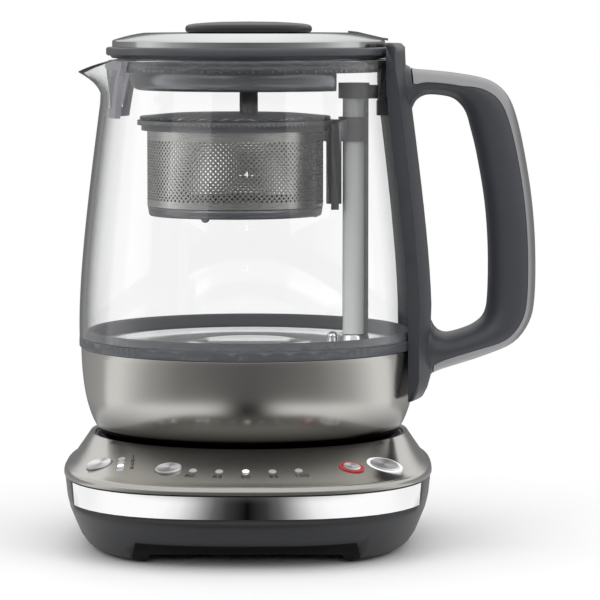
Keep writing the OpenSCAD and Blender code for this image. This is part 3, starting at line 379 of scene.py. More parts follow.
plasticLook("charcoalBase", {"color": "#1f2023", "rough": 0.42, "grain": 0.0005, "depth": 0.25, "tint": 0.1})
plasticLook("softRubber", {"color": "#1d1d1f", "rough": 0.75, "grain": 0.0008, "depth": 0.3})
plasticLook("sealRubber", {"color": "#68696d", "rough": 0.6, "depth": 0.05, "tint": 0.03})
plasticLook("blackMoulding", {"color": "#131314", "rough": 0.35, "depth": 0.1})
plasticLook("contactBrass", {"color": "#c9a24a", "rough": 0.25, "metal": 1})
plasticLook("boardGreen", {"color": "#2f6b3c", "rough": 0.45, "grain": 0.003, "tint": 0.3})
plasticLook("switchBlack", {"color": "#26272a", "rough": 0.5})
plasticLook("greyMoulding", {"color": "#4a4c51", "rough": 0.36, "depth": 0.08})
plasticLook("basketGrey", {"color": "#6e6f73", "rough": 0.3, "metal": 0.6, "depth": 0.01, "tint": 0.02,
                           "roughSpread": 0.04})
plasticLook("collarGrey", {"color": "#56585c", "rough": 0.34, "metal": 0.2, "depth": 0.02, "tint": 0.02,
                           "roughSpread": 0.03})
plasticLook("lidGrey", {"color": "#44454a", "rough": 0.3, "depth": 0.05})
plasticLook("plugGrey", {"color": "#8f9094", "rough": 0.28, "metal": 0.75, "depth": 0.01, "tint": 0.02,
                         "roughSpread": 0.03})
plasticLook("handleGrey", {"color": "#3c3e43", "rough": 0.4, "grain": 0.0004, "depth": 0.12, "tint": 0.1})
plasticLook("trimMetal", {"color": "#9d9c9e", "rough": 0.32, "metal": 0.95, "grain": 0.0003, "depth": 0.06})
plasticLook("warmMetal", {"color": "#b4b2ac", "rough": 0.17, "metal": 0.95, "grain": 0.00025, "depth": 0.05,
                          "tint": 0.08, "coat": 0.2})
# painted shade darkens the jug metal towards its foot
plasticLook("jugMetal", {"color": "#c9c7c2", "rough": 0.2, "foot": (0.047, 0.064, 0.06), "metal": 1.0,
                         "grain": 0.0004, "depth": 0.015, "tint": 0.04, "roughSpread": 0.05})
plasticLook("brightBand", {"color": "#fcfcfc", "rough": 0.04, "metal": 1.0, "depth": 0.01, "tint": 0.02,
                           "roughSpread": 0.04})
plasticLook("knobBlack", {"color": "#1b1b1d", "rough": 0.35, "depth": 0.05})
plasticLook("gearNylon", {"color": "#e0dccf", "rough": 0.5})
plasticLook("magnetMetal", {"color": "#8e9094", "rough": 0.35, "metal": 1.0})
turnedLook("turnedSteel", {"color": "#d4d5d7", "rough": 0.2, "centre": jugAxis})
# the lid steel carries painted highlight sectors round the jug's axis
turnedLook("lidSteel", {"color": "#e2e3e4", "rough": 0.12, "centre": jugAxis, "line": 0.0003,
                        "length": 0.08, "depth": 0.02, "paintedGlintSectors": math.pi})
turnedLook("floorSteel", {"color": "#dcddde", "rough": 0.2, "centre": jugAxis})
turnedLook("basketSteel", {"color": "#bdbcb9", "rough": 0.28, "centre": basketAxis, "line": 0.0006})


def buttonLook(name, centre):
    # spun steel lines with painted highlight sectors round the button's centre
    turnedLook(name, {"color": "#f2f2f3", "rough": 0.4, "metal": 0.8, "centre": centre, "line": 0.00025,
                      "length": 0.05, "tint": 0.12, "depth": 0.05, "paintedGlintSectors": 0.9})


def glowLook(name, s):
    m, tree, p = newLook(name)
    g = groupNode(tree, grainGroup, coords(tree), color(s["color"]), {'Roughness': 0.25})
    wireShader(tree, g['Color'], g['Roughness'], p)
    p.inputs['Emission Color'].default_value = color(s["glow"])
    p.inputs['Emission Strength'].default_value = s["strength"]


glowLook("redRing", {"color": "#a81c1c", "glow": "#c01c1c", "strength": 0.15})
glowLook("whiteRing", {"color": "#e4e6e8", "glow": "#ffffff", "strength": 0.3})
# painted highlight: the unlit light windows glow faintly, standing in for their small highlights
glowLook("clearLightPaintedGlint", {"color": "#9fa1a4", "glow": "#ffffff", "strength": 0.05})
glowLook("litLight", {"color": "#ffffff", "glow": "#ffffff", "strength": 1.2})


def paintedEdgeReflection(tree, stops):
    # painted reflection: a clear wall's colour gets darker where it is seen along its length, standing in for
    # the dark surroundings it mirrors at its edges
    facing = tree.nodes.new('ShaderNodeLayerWeight')
    facing.inputs['Blend'].default_value = 0.5
    return rampNode(tree, facing.outputs['Facing'], [(where, color(tint)) for where, tint in stops])


def glassLook(name, s):
    m, tree, p = newLook(name)
    g = groupNode(tree, grainGroup, coords(tree), paintedEdgeReflection(tree, s["edge"]),
                  {'Roughness': s["rough"], 'Roughness Spread': 0.02, 'Tint Spread': 0.01, 'Smudge Size': 0.05})
    wireShader(tree, g['Color'], g['Roughness'], p)
    p.inputs['Transmission Weight'].default_value = s["clear"]
    p.inputs['IOR'].default_value = s["ior"]
    # light passes through to what is inside
    path = tree.nodes.new('ShaderNodeLightPath')
    clear = tree.nodes.new('ShaderNodeBsdfTransparent')
    clear.inputs['Color'].default_value = (0.95, 0.96, 0.96, 1)
    mixInto(tree, 'Material Output', path.outputs['Is Shadow Ray'], p, clear)


# the edge stops are painted reflection: grazing view darkens the colour of the glass and the clear tube
glassLook("jugGlass", {"rough": 0.0, "clear": 1, "ior": 1.45,
                       "edge": ((0.45, "#ffffff"), (0.62, "#f4f5f5"), (0.74, "#c4c5c6"), (0.84, "#7a7b7d"),
                                (1.0, "#3e3f41"))})
glassLook("postClear", {"rough": 0.15, "clear": 0, "ior": 1.45,
                        "edge": ((0.3, "#ebecec"), (0.62, "#dcdddd"), (0.8, "#9c9d9e"), (1.0, "#5a5b5d"))})
plasticLook("frostedFrame", {"color": "#a19fa8", "rough": 0.4})
print("materials ready:", len(looks))

# revolved pieces

def outlineObject(name, points):
    # a circle of as many corners as the outline has, each corner then set to its place
    deselect()
    bpy.ops.mesh.primitive_circle_add(vertices=len(points), radius=0.01)
    obj = called(bpy.context.object, name)
    for v, (r, z) in zip(obj.data.vertices, points):
        v.co = (axis.x + r * mm, axis.y, (z + place["jugZ"] * 1000) * mm)
    return obj


def revolve(name, points, steps=128, bevel=None, angle=30):
    obj = outlineObject(name, points)
    pick(obj)
    bpy.ops.object.mode_set(mode='EDIT')
    bpy.ops.mesh.select_all(action='SELECT')
    bpy.ops.mesh.spin(steps=steps, angle=2 * math.pi, center=axis, axis=(0, 0, 1))
    bpy.ops.mesh.remove_doubles(threshold=mergeGap)
    bpy.ops.mesh.delete_loose()
    bpy.ops.object.mode_set(mode='OBJECT')
    tidyMesh(obj)
    if bevel:
        bevelEdges(obj, bevel, 3, angle)
    smooth(obj, angle)
    return obj


def loftRings(name, rings, closed=False, angle=40):
    # a disc is drawn out from ring to ring, and each new corner set to its place
    deselect()
    bpy.ops.mesh.primitive_circle_add(vertices=len(rings[0]), radius=0.01, fill_type='NGON')
    obj = called(bpy.context.object, name)
    for v, p in zip(obj.data.vertices, rings[0]):
        v.co = p
    before = rings[0]
    for ring in rings[1:] + (rings[:1] if closed else []):
        bpy.ops.object.mode_set(mode='EDIT')
        bpy.ops.mesh.select_mode(type='FACE')
        bpy.ops.mesh.extrude_region_move()
        bpy.ops.object.mode_set(mode='OBJECT')
        for v in obj.data.vertices:
            if v.select:
                i = min(range(len(before)), key=lambda k: (before[k] - v.co).length_squared)
                v.co = ring[i]
        before = ring
    if closed:
        for f in obj.data.polygons:
            f.select = len(f.vertices) == len(rings[0])
        bpy.ops.object.mode_set(mode='EDIT')
        bpy.ops.mesh.delete(type='ONLY_FACE')
        bpy.ops.object.mode_set(mode='OBJECT')
    tidyMesh(obj, 0.000005)
    smooth(obj, angle)
    return obj


def curvePoints(p, steps):
    out = []
    for i in range(steps + 1):
        t = i / steps
        k = ((1 - t) ** 3, 3 * (1 - t) ** 2 * t, 3 * (1 - t) * t * t, t ** 3)
        out.append((sum(k[j] * p[j][0] for j in range(4)), sum(k[j] * p[j][1] for j in range(4))))
    return out


shellSettings = {"foot": 60, "body": 74.6, "height": 43.7, "wall": 1.2}


def makeMetalShell(s):
    outer = curvePoints([(s["foot"], 0.8), (s["foot"] + 9, 6), (s["body"] - 0.4, 18),
                         (s["body"], s["height"])], 28)
    inner = [(r - s["wall"], z + s["wall"] * 0.5) for r, z in outer[1:-1]]
    points = [(s["foot"] - 2.6, 0.6), (s["foot"] - 1, 0.5)] + outer + [(s["body"] - s["wall"], s["height"])]
    points += inner[::-1] + [(s["foot"] - 0.6, 1.8), (s["foot"] - 2.6, 1.8)]
    shell = revolve("metalShell", points, steps=160, bevel=0.00025, angle=40)
    finishPiece(shell, "jug", "jug_metal", "jugMetal", "metal_shell")


makeMetalShell(shellSettings)
print("jug shell made")


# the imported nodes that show, as one smooth mesh each

def smoothCopy(node, name, look, angle):
    src = frame["nodes"][node]
    pick(src)
    bpy.ops.object.duplicate()
    obj = called(bpy.context.object, name)
    tidyMesh(obj)
    smooth(obj, angle)
    return finishPiece(obj, bodyOf[node], slotOf[node], look, node)


copySettings = {
    "base_housing": ("lowerHousing", "charcoalBase", 32), "chrome_band": ("brightBand", "brightBand", 40),
    "seat_dish": ("seatDish", "blackMoulding", 35), "collar_ring": ("collarRing", "collarGrey", 30),
    "floor_plate": ("floorPlate", "floorSteel", 25), "floor_seal": ("floorSeal", "sealRubber", 40),
    "post_tube": ("postTube", "postClear", 40), "post_foot": ("postFoot", "turnedSteel", 40),
    "post_clamp": ("postClamp", "greyMoulding", 40), "neck_bracket": ("neckBracket", "greyMoulding", 35),
    "handle_spine": ("handleSpine", "handleGrey", 35), "filter_frame": ("filterFrame", "frostedFrame", 35),
    "lid_plug": ("lidPlug", "plugGrey", 35), "lid_seal": ("lidSeal", "sealRubber", 50),
    "basket_carrier": ("basketCarrier", "basketGrey", 35), "basket_ring": ("basketRing", "basketGrey", 35),
    "basket_lid": ("basketLid", "basketGrey", 35)}
for node, (name, look, angle) in copySettings.items():
    smoothCopy(node, name, look, angle)
print("smooth copies made:", len(copySettings))


def through(line, steps):
    # a smooth line through stations of any count of numbers
    out = []
    for i in range(len(line) - 1):
        a, b, c, d = (line[j] for j in (max(i - 1, 0), i, i + 1, min(i + 2, len(line) - 1)))
        for j in range(steps):
            t = j / steps
            out.append([0.5 * (2 * b[k] + (c[k] - a[k]) * t + (2 * a[k] - 5 * b[k] + 4 * c[k] - d[k]) * t * t
                               + (3 * b[k] - a[k] - 3 * c[k] + d[k]) * t ** 3) for k in range(len(b))])
    return out + [list(line[-1])]


# the grip's stations: outer edge, inner edge, and how deep the trim reaches
gripSettings = {
    "width": 27.0, "flare": 0.22, "square": 2.2, "steps": 4, "trimThick": 1.5, "seam": 0.022, "trimFrom": 6,
    "trimTo": 6,
    "line": ((66.8, 170.0, 69.8, 143.4, 6.6), (70.6, 167.8, 72.0, 148.4, 6.8),
             (73.4, 166.6, 74.3, 152.8, 7.0),
             (79.0, 166.1, 78.8, 155.1, 7.0), (90.0, 165.0, 86.3, 154.7, 6.8),
             (101.0, 163.2, 91.0, 153.2, 6.2),
             (108.5, 160.6, 94.6, 149.8, 5.6), (114.5, 155.0, 96.6, 146.0, 5.0),
             (118.5, 145.7, 98.0, 141.0, 4.6),
             (122.2, 129.7, 100.8, 129.7, 4.3), (125.6, 108.4, 104.5, 108.4, 4.2),
             (127.2, 87.0, 106.1, 87.0, 4.2),
             (127.0, 65.6, 105.9, 66.0, 4.2), (124.6, 54.2, 104.3, 58.0, 4.4),
             (117.5, 45.0, 100.5, 54.0, 4.6),
             (104.0, 39.1, 95.0, 51.4, 4.8), (92.0, 35.2, 88.4, 49.7, 4.8), (86.0, 33.3, 84.9, 50.4, 4.8),
             (82.8, 32.0, 82.6, 52.4, 4.6), (80.8, 30.8, 81.0, 55.2, 4.4), (77.6, 29.6, 78.2, 58.6, 4.4))}


def makeHandle(s):
    line = through(s["line"], s["steps"])
    last = len(line) - 1

    def corner(i, angle, drawn):
        ox, oz, ix, iz, deep = line[i]
        mid = Vector(((ox + ix) / 2, (oz + iz) / 2))
        half = Vector(((ox - ix) / 2, (oz - iz) / 2))
        w = s["width"] / 2 * (1 + s["flare"] * abs(2 * i / last - 1) ** 3)
        c, n = math.cos(angle), math.sin(angle)
        k = (abs(c) ** s["square"] + abs(n) ** s["square"]) ** (-1 / s["square"])
        q = mid + half.normalized() * (half.length - drawn) * k * c
        return Vector((axis.x + q.x * mm, axis.y + (w - drawn) * k * n * mm, q.y * mm + place["jugZ"]))

    def seamAngle(i):
        ox, oz, ix, iz, deep = line[i]
        want = 1 - deep / (math.hypot(ox - ix, oz - iz) / 2)
        low, high = 0.0, math.pi / 2
        for _ in range(30):
            a = (low + high) / 2
            c, n = math.cos(a), math.sin(a)
            k = (c ** s["square"] + n ** s["square"]) ** (-1 / s["square"])
            low, high = (a, high) if k * c > want else (low, a)
        return low

    body, strip = [], []
    for i in range(last + 1):
        a = seamAngle(i)
        inTrim = s["trimFrom"] <= i <= last - s["trimTo"]
        drawn = s["trimThick"] + 0.05 if inTrim else 0
        ring = [corner(i, a + (2 * math.pi - 2 * a) * j / 27, 0) for j in range(28)]
        ring += [corner(i, -a + 2 * a * (j + 0.1) / 14.2, drawn) for j in range(15)]
        body.append(ring)
        if inTrim:
            b = a - s["seam"]
            strip.append([corner(i, -b + 2 * b * j / 17, 0) for j in range(18)]
                         + [corner(i, b - 2 * b * j / 17, s["trimThick"]) for j in range(18)])
    grip = loftRings("handleGrip", body, angle=35)
    finishPiece(grip, "jug", "handle_grey", "handleGrey", "handle_grip")
    trim = loftRings("handleTrim", strip, angle=35)
    bevelEdges(trim, 0.0002, 2, 50)
    smooth(trim, 35)
    finishPiece(trim, "jug", "trim_metal", "trimMetal", "handle_trim")
    print("handle made:", len(line), "stations")


makeHandle(gripSettings)

glassSettings = {"body": 74.6, "neck": 64.8, "wall": 2.5, "low": 48.4, "rim": 171.0, "steps": 192,
                 "spoutHalf": 27.0, "spoutReach": 11.4, "spoutDrop": 5.6, "spoutDepth": 17.0}


def glassSide(s, steps):
    return curvePoints([(s["body"] + 0.7, s["low"]), (s["body"] + 1.3, s["low"] + 26),
                        (s["neck"] + 6.2, s["rim"] - 59), (s["neck"] + 0.3, s["rim"] - 15)], steps)


def glassRadius(z, s=glassSettings):
    # outer radius of the glass at a height over the jug's underside
    pts = glassSide(s, 40)
    for (r0, z0), (r1, z1) in zip(pts, pts[1:]):
        if z0 <= z <= z1:
            return r0 + (r1 - r0) * (z - z0) / (z1 - z0)
    return s["neck"]


def makeGlass(s):
    curve = glassSide(s, 30)
    neck = [(s["neck"] + 0.15, s["rim"] - 12)] + [(s["neck"], s["rim"] - down) for down in (9, 6, 3.6, 1.3)]
    half = s["wall"] / 2
    round = [(s["neck"] - half + half * math.cos(math.radians(a)),
              s["rim"] - half + half * math.sin(math.radians(a)))
             for a in range(20, 170, 20)]
    outer = curve + neck
    inner = [(r - s["wall"], z) for r, z in outer]
    glass = revolve("glassJug", outer + round + inner[::-1], steps=s["steps"], angle=50)
    # the pouring lip is drawn out of the rim towards the left
    for v in glass.data.vertices:
        away = v.co.xy - axis.xy
        z = (v.co.z - place["jugZ"]) / mm
        turn = abs(math.degrees(math.atan2(away.y, -away.x)))
        rise = (z - s["rim"] + s["spoutDepth"]) / s["spoutDepth"]
        if turn < s["spoutHalf"] and rise > 0:
            side = 1 - turn / s["spoutHalf"]
            pull = side ** 1.6 * (1.25 - 0.25 * side) * min(rise, 1) ** 1.5
            v.co.xy += away.normalized() * s["spoutReach"] * pull * mm
            v.co.z -= s["spoutDrop"] * pull * mm
    smooth(glass, 60)
    finishPiece(glass, "jug", "jug_glass", "jugGlass", "glass_jug")
    print("glass made:", len(glass.data.polygons), "faces")


makeGlass(glassSettings)

lidSettings = {"flangeTop": 176.2, "flangeR": 63.0, "coverR": 60.3, "coverTop": 182.4, "plateauR": 47.0,
               "knobR": 28.0, "knobTop": 187.4}


def makeLid(s):
    f, c, k = s["flangeTop"], s["coverTop"], s["knobTop"]
    r = s["flangeR"]
    flange = revolve("lidFlange", [(0, f - 4.8), (60.4, f - 4.8), (60.8, f - 4.3), (61.2, f - 3.7),
                                   (r - 0.8, f - 3.7),
                                   (r - 0.2, f - 3.3), (r, f - 2.8), (r, f - 0.9), (r - 0.25, f - 0.3),
                                   (r - 0.9, f),
                                   (57, f), (56, f - 2.5), (0, f - 2.5)], steps=160, angle=35)
    finishPiece(flange, "lid", slotOf["lid_flange"], "lidGrey", "lid_flange")
    r, p = s["coverR"], s["plateauR"]
    top = [(r, f + 0.1), (r, f + 1.5), (r, f + 2.5), (r - 0.25, f + 2.9), (r - 0.8, f + 3.2)]
    top += curvePoints([(r - 0.8, f + 3.2), (r - 5, f + 4.6), (p + 3.5, c - 0.5), (p - 0.5, c)], 14)[1:]
    cover = revolve("lidCover", [(0, c - 0.9), (p - 1, c - 0.9), (r - 1.6, f + 2.4), (r - 0.9, f + 1.8),
                                 (r - 0.9, f + 0.1)]
                    + top + [(0, c)], steps=200, angle=30)
    finishPiece(cover, "lid", slotOf["lid_cover"], "lidSteel", "lid_cover")
    r = s["knobR"]
    knob = revolve("lidKnob", [(0, c + 0.1), (r - 1.2, c + 0.1), (r - 0.4, c + 0.5), (r, c + 1.3),
                               (r, c + 2.1),
                               (r - 0.35, c + 3.0), (r - 1.3, c + 3.6), (r - 4, c + 4.1), (r - 9, c + 4.5),
                               (r - 16, c + 4.85), (0, k)], steps=128, angle=50)
    finishPiece(knob, "lid", slotOf["lid_knob"], "knobBlack", "lid_knob")
    print("lid made")


makeLid(lidSettings)

# basket wall with its holes

holeSettings = {"radius": 39.0, "wall": 0.5, "low": 106.1, "high": 141.5, "firstRow": 109.0,
                "rowStep": 1.2, "around": 104, "pairs": 11, "hole": 0.9}


def makePerforatedWall(s):
    w = 2 * math.pi * (s["radius"] - s["wall"] / 2) / s["around"] * mm
    h = 2 * s["rowStep"] * mm
    deselect()
    bpy.ops.mesh.primitive_grid_add(x_subdivisions=2, y_subdivisions=2, size=1)
    wall = called(bpy.context.object, "perforatedWall")
    wall.scale = (w, h, 1)
    settle(wall)
    # one hole in every second cell
    for f in wall.data.polygons:
        f.select = f.center.x * f.center.y > 0
    bpy.ops.object.mode_set(mode='EDIT')
    bpy.ops.mesh.select_mode(type='FACE')
    bpy.ops.mesh.inset(thickness=(w / 2 - s["hole"] * mm) / 2, use_individual=True)
    bpy.ops.mesh.subdivide(number_cuts=1)
    for side in (-1, 1):
        spot = Vector((side * w / 4, side * h / 4, 0))
        # the eight corners round the hole become a ring, and its middle goes
        pickVerts(wall, lambda c: 0.2 * s["hole"] * mm < (c - spot).length < 0.8 * s["hole"] * mm)
        bpy.ops.transform.tosphere(value=1)
        pickVerts(wall, lambda c: (c - spot).length < 0.2 * s["hole"] * mm)
        bpy.ops.mesh.delete(type='VERT')
    bpy.ops.object.mode_set(mode='OBJECT')
    for i, count in enumerate((s["around"], s["pairs"])):
        m = wall.modifiers.new("repeat" + str(i), 'ARRAY')
        m.count = count
        m.relative_offset_displace = (1, 0, 0) if i == 0 else (0, 1, 0)
        m.use_merge_vertices = True
        m.merge_threshold = 0.000005
    applyAll(wall)
    low, high = spans(wall)[1]
    top = s["high"] - s["firstRow"] - (high - low) / mm
    # plain bands under and over the holes
    for edge, reach in ((low, -(s["firstRow"] - s["low"]) * mm), (high, top * mm)):
        pickVerts(wall, lambda c: abs(c.y - edge) < 0.000002)
        bpy.ops.mesh.extrude_region_move(TRANSFORM_OT_translate={"value": (0, reach, 0)})
        bpy.ops.object.mode_set(mode='OBJECT')
    wall.rotation_euler.x = math.radians(90)
    settle(wall)
    wall.location = (-sum(spans(wall)[0]) / 2, 0, 0)
    settle(wall)
    roll = wall.modifiers.new("roll", 'SIMPLE_DEFORM')
    roll.deform_method = 'BEND'
    roll.deform_axis = 'Z'
    roll.angle = 2 * math.pi
    applyAll(wall)
    xs, ys, zs = spans(wall)
    wall.location = (basketAxis[0] - sum(xs) / 2, basketAxis[1] - sum(ys) / 2,
                     s["low"] * mm + place["jugZ"] - zs[0])
    settle(wall)
    tidyMesh(wall, 0.00001)
    thick = wall.modifiers.new("wall", 'SOLIDIFY')
    thick.thickness = s["wall"] * mm
    thick.offset = 0
    applyAll(wall)
    smooth(wall, 40)
    finishPiece(wall, "basket", "stainless", "basketSteel", "basket_wall")
    print("perforated wall:", len(wall.data.polygons), "faces")


makePerforatedWall(holeSettings)

# CAD nodes that keep their shape

nodeLooks = {
    "bottom_cover": "charcoalBase", "rubber_pads": "softRubber", "power_connector": "blackMoulding",
    "connector_contacts": "contactBrass", "control_board": "boardGreen", "tact_switches": "switchBlack",
    "lights": "clearLightPaintedGlint", "warm_ring": "redRing", "start_ring": "whiteRing", "cord_inlet": "softRubber",
    "power_board": "boardGreen", "jug_socket": "blackMoulding", "jug_bottom": "blackMoulding",
    "heating_element": "magnetMetal", "temperature_probe": "turnedSteel", "post_rail": "greyMoulding",
    "filter_mesh": "turnedSteel", "drive_motor": "magnetMetal", "gear_bracket": "greyMoulding",
    "lead_screw": "turnedSteel", "screw_gear": "gearNylon", "motor_pinion": "gearNylon",
    "magnet_carriage": "magnetMetal", "lid_tab": "turnedSteel", "basket_mesh": "basketSteel",
    "basket_magnets": "magnetMetal"}


def centreOf(node):
    low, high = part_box(node)
    return tuple((low[i] + high[i]) / 2 for i in range(3))


for node in ("strength_button", "select_button", "warm_button", "start_button"):
    look = node.split("_")[0] + "SpunPaintedGlint"
    buttonLook(look, centreOf(node))
    nodeLooks[node] = look

for node, look in nodeLooks.items():
    obj = frame["nodes"][node]
    obj.data.materials.clear()
    obj.data.materials.append(looks[look])
print("nodes dressed:", len(nodeLooks))

# printed marks and lit lights

panelSettings = {"rimZ": 46.1, "rimR": 70.5, "lipZ": 35.6, "inset": 2.4, "proud": 0.05, "columnProud": 0.2}


def edgeRadius(inset, degrees):
    # distance from the jug's axis to the outline of the base, angle counted from the front
    t = math.radians(degrees)
    low, high = 0.0, 200.0
    halfW, halfD = place["baseW"] * 500 - inset, place["baseD"] * 500 - inset
    for _ in range(40):
        m = (low + high) / 2
        x, y = m * math.sin(t), place["jugY"] * 1000 - m * math.cos(t)
        inside = abs(x / halfW) ** place["baseSquare"] + abs(y / halfD) ** place["baseSquare"] < 1
        low, high = (m, high) if inside else (low, m)
    return low


def panelSpot(degrees, r):
    # place and tilt of a point on the panel, in metres
    s = panelSettings
    far = edgeRadius(s["inset"], degrees)
    slope = math.atan((s["rimZ"] - s["lipZ"]) / (far - s["rimR"]))
    z = s["rimZ"] - (s["rimZ"] - s["lipZ"]) * (r - s["rimR"]) / (far - s["rimR"])
    t = math.radians(degrees)
    return Vector((axis.x + r * mm * math.sin(t), axis.y - r * mm * math.cos(t), z * mm)), slope, t


def panelNormal(slope, t):
    return Vector((math.sin(t) * math.sin(slope), -math.cos(t) * math.sin(slope), math.cos(slope)))


topSettings = {"sides": 180, "seamZ": 32.2, "lipIn": 2.4, "wall": 2.2, "seatR": 68.5, "bands": 8,
               "buttons": ((-43.3, 5.9), (-20.2, 5.9), (28.3, 5.45), (39.3, 7.85)), "row": 6.8, "light": 1.75,
               "rowR": 94.4, "draw": 2.6, "columnX": -53.36, "columnBack": 20.4, "columnStep": 4.6}


def arcRadius(degrees):
    return topSettings["rowR"] - topSettings["draw"] * abs(degrees / 43.3) ** 4


def makeTopShell(s):
    p = panelSettings
    halfW, halfD, n = place["baseW"] * 500, place["baseD"] * 500, place["baseSquare"]

    def planRing(inset, z):
        out = []
        for i in range(s["sides"]):
            t = 2 * math.pi * i / s["sides"]
            r = (abs(math.cos(t) / (halfW - inset)) ** n + abs(math.sin(t) / (halfD - inset)) ** n) ** (-1 / n)
            out.append(Vector((axis.x + r * math.cos(t) * mm, r * math.sin(t) * mm, z * mm)))
        return out

    def drawnRing(inset, lowZ, r, highZ, t):
        out = []
        for q in planRing(inset, 0):
            away = q - axis
            c = away.normalized() * r * mm
            m = away.lerp(c, t)
            out.append(Vector((axis.x + m.x, axis.y + m.y, (lowZ + (highZ - lowZ) * t) * mm)))
        return out

    lip = [planRing(s["lipIn"] * (1 - math.cos(math.radians(a))),
                    p["lipZ"] - 2.4 + 2.4 * math.sin(math.radians(a)))
           for a in (0, 18, 36, 54, 72, 88)]
    panel = [drawnRing(s["lipIn"], p["lipZ"], p["rimR"], p["rimZ"], t / s["bands"])
             for t in range(1, s["bands"] + 1)]
    under = p["rimZ"] - s["wall"] - 0.4
    rings = [planRing(s["wall"], s["seamZ"]), planRing(0, s["seamZ"])] + lip + panel
    rings += [drawnRing(s["lipIn"], p["lipZ"], r, z, 1) for r, z in
              ((p["rimR"] - 0.6, p["rimZ"] - 0.05), (s["seatR"] + 0.4, p["rimZ"] - 0.2),
               (s["seatR"], p["rimZ"] - 0.6), (s["seatR"], under), (p["rimR"] + 0.6, under))]
    rings += [planRing(s["lipIn"] + s["wall"], p["lipZ"] - s["wall"])]
    shell = loftRings("topShell", rings, closed=True, angle=30)
    # the buttons and lights come up through round holes
    spots = [(a, arcRadius(a), r) for a, r in s["buttons"]]
    spots += [(i * s["row"], arcRadius(i * s["row"]), s["light"]) for i in range(-2, 3)]
    for i in range(4):
        y = s["columnBack"] - s["rowR"] - (i - 1.5) * s["columnStep"]
        spots.append((math.degrees(math.atan2(s["columnX"], -y)), math.hypot(s["columnX"], y), s["light"]))
    cutters = []
    for degrees, r, size in spots:
        spot, slope, t = panelSpot(degrees, r)
        deselect()
        bpy.ops.mesh.primitive_cylinder_add(vertices=48, radius=size * mm, depth=0.02, location=spot,
                                            rotation=(slope, 0, t))
        cutters.append(bpy.context.object)
    deselect()
    for c in cutters:
        c.select_set(True)
    bpy.context.view_layer.objects.active = cutters[0]
    bpy.ops.object.join()
    drills = bpy.context.object
    settle(drills)
    holes = shell.modifiers.new("holes", 'BOOLEAN')
    holes.object = drills
    holes.operation = 'DIFFERENCE'
    holes.solver = 'EXACT'
    applyAll(shell)
    bpy.data.objects.remove(drills)
    tidyMesh(shell, 0.000002)
    smooth(shell, 30)
    finishPiece(shell, "power_base", slotOf["top_shell"], "warmMetal", "top_shell")
    print("top shell made:", len(shell.data.polygons), "faces")


makeTopShell(topSettings)

plasticLook("printDark", {"color": "#2b2b2d", "rough": 0.5, "tint": 0.03})
plasticLook("printPale", {"color": "#f4f5f5", "rough": 0.5, "tint": 0.03})


def textObject(name, text, size, thick):
    deselect()
    bpy.ops.object.text_add()
    obj = bpy.context.object
    obj.data.body = text
    obj.data.size = size * mm
    obj.data.align_x = 'CENTER'
    obj.data.align_y = 'CENTER'
    obj.data.extrude = thick * mm
    bpy.ops.object.convert(target='MESH')
    return called(bpy.context.object, name)


def printMark(name, text, size, degrees, r, upright=False):
    obj = textObject(name, text, size, markSettings["thick"])
    spot, slope, t = panelSpot(degrees, r)
    normal = panelNormal(slope, t)
    # the line of print runs across the object, or along the row's arc
    along = Vector((1, 0, 0)) if upright else Vector((math.cos(t), math.sin(t), 0))
    along = (along - normal * along.dot(normal)).normalized()
    obj.matrix_world = Matrix((along, normal.cross(along), normal)).transposed().to_4x4()
    proud = panelSettings["columnProud"] if upright else panelSettings["proud"]
    obj.location = spot + normal * proud * mm
    settle(obj)
    return finishPiece(obj, "power_base", "light_window", "printDark")


markSettings = {"row": ("80", "85", "90", "95", "100"), "step": 6.8, "rowR": 99.8, "size": 4.4,
                "column": ("1", "2", "3", "4"), "columnX": -48.4, "columnY": -74.0, "columnStep": 4.6,
                "columnSize": 4.0, "thick": 0.04}


def makeMarks(s):
    for i, text in enumerate(s["row"]):
        printMark("rowMark" + text, text, s["size"], (i - 2) * s["step"], s["rowR"])
    for i, text in enumerate(s["column"]):
        y = s["columnY"] - (i - 1.5) * s["columnStep"]
        printMark("columnMark" + text, text, s["columnSize"], math.degrees(math.atan2(s["columnX"], -y)),
                  math.hypot(s["columnX"], y), upright=True)


makeMarks(markSettings)

levelSettings = {"marks": (("4", 123.0), ("3", 100.6), ("2", 83.7), ("1", 68.9)), "size": 3.6, "thick": 0.03,
                 "proud": 0.15, "reach": 2}


def makeLevels(s):
    # fill levels printed on the front of the glass
    for text, z in s["marks"]:
        r, above = glassRadius(z), glassRadius(z + s["reach"])
        obj = textObject("levelMark" + text, "- " + text + " -", s["size"], s["thick"])
        obj.rotation_euler = (math.pi / 2 - math.atan2(r - above, s["reach"]), 0, 0)
        obj.location = (axis.x, axis.y - (r + s["proud"]) * mm, z * mm + place["jugZ"])
        settle(obj)
        finishPiece(obj, "jug", "jug_glass", "printPale")


makeLevels(levelSettings)


lensSettings = {"radius": 1.4, "flat": 0.35, "proud": 0.35}


def litLens(name, degrees, r, s=lensSettings):
    # low dome over the light that is on
    deselect()
    bpy.ops.mesh.primitive_uv_sphere_add(segments=24, ring_count=12, radius=s["radius"] * mm)
    obj = called(bpy.context.object, name)
    spot, slope, t = panelSpot(degrees, r)
    obj.scale = (1, 1, s["flat"])
    obj.rotation_euler = (slope, 0, t)
    obj.location = spot + panelNormal(slope, t) * s["proud"] * mm
    settle(obj)
    smooth(obj, 60)
    finishPiece(obj, "power_base", "light_window", "litLight")


columnFront = 76.3
litLens("rowLens", 0, topSettings["rowR"])
litLens("columnLens", math.degrees(math.atan2(topSettings["columnX"], columnFront)),
        math.hypot(topSettings["columnX"], columnFront))
print("marks and lights made")

# stage

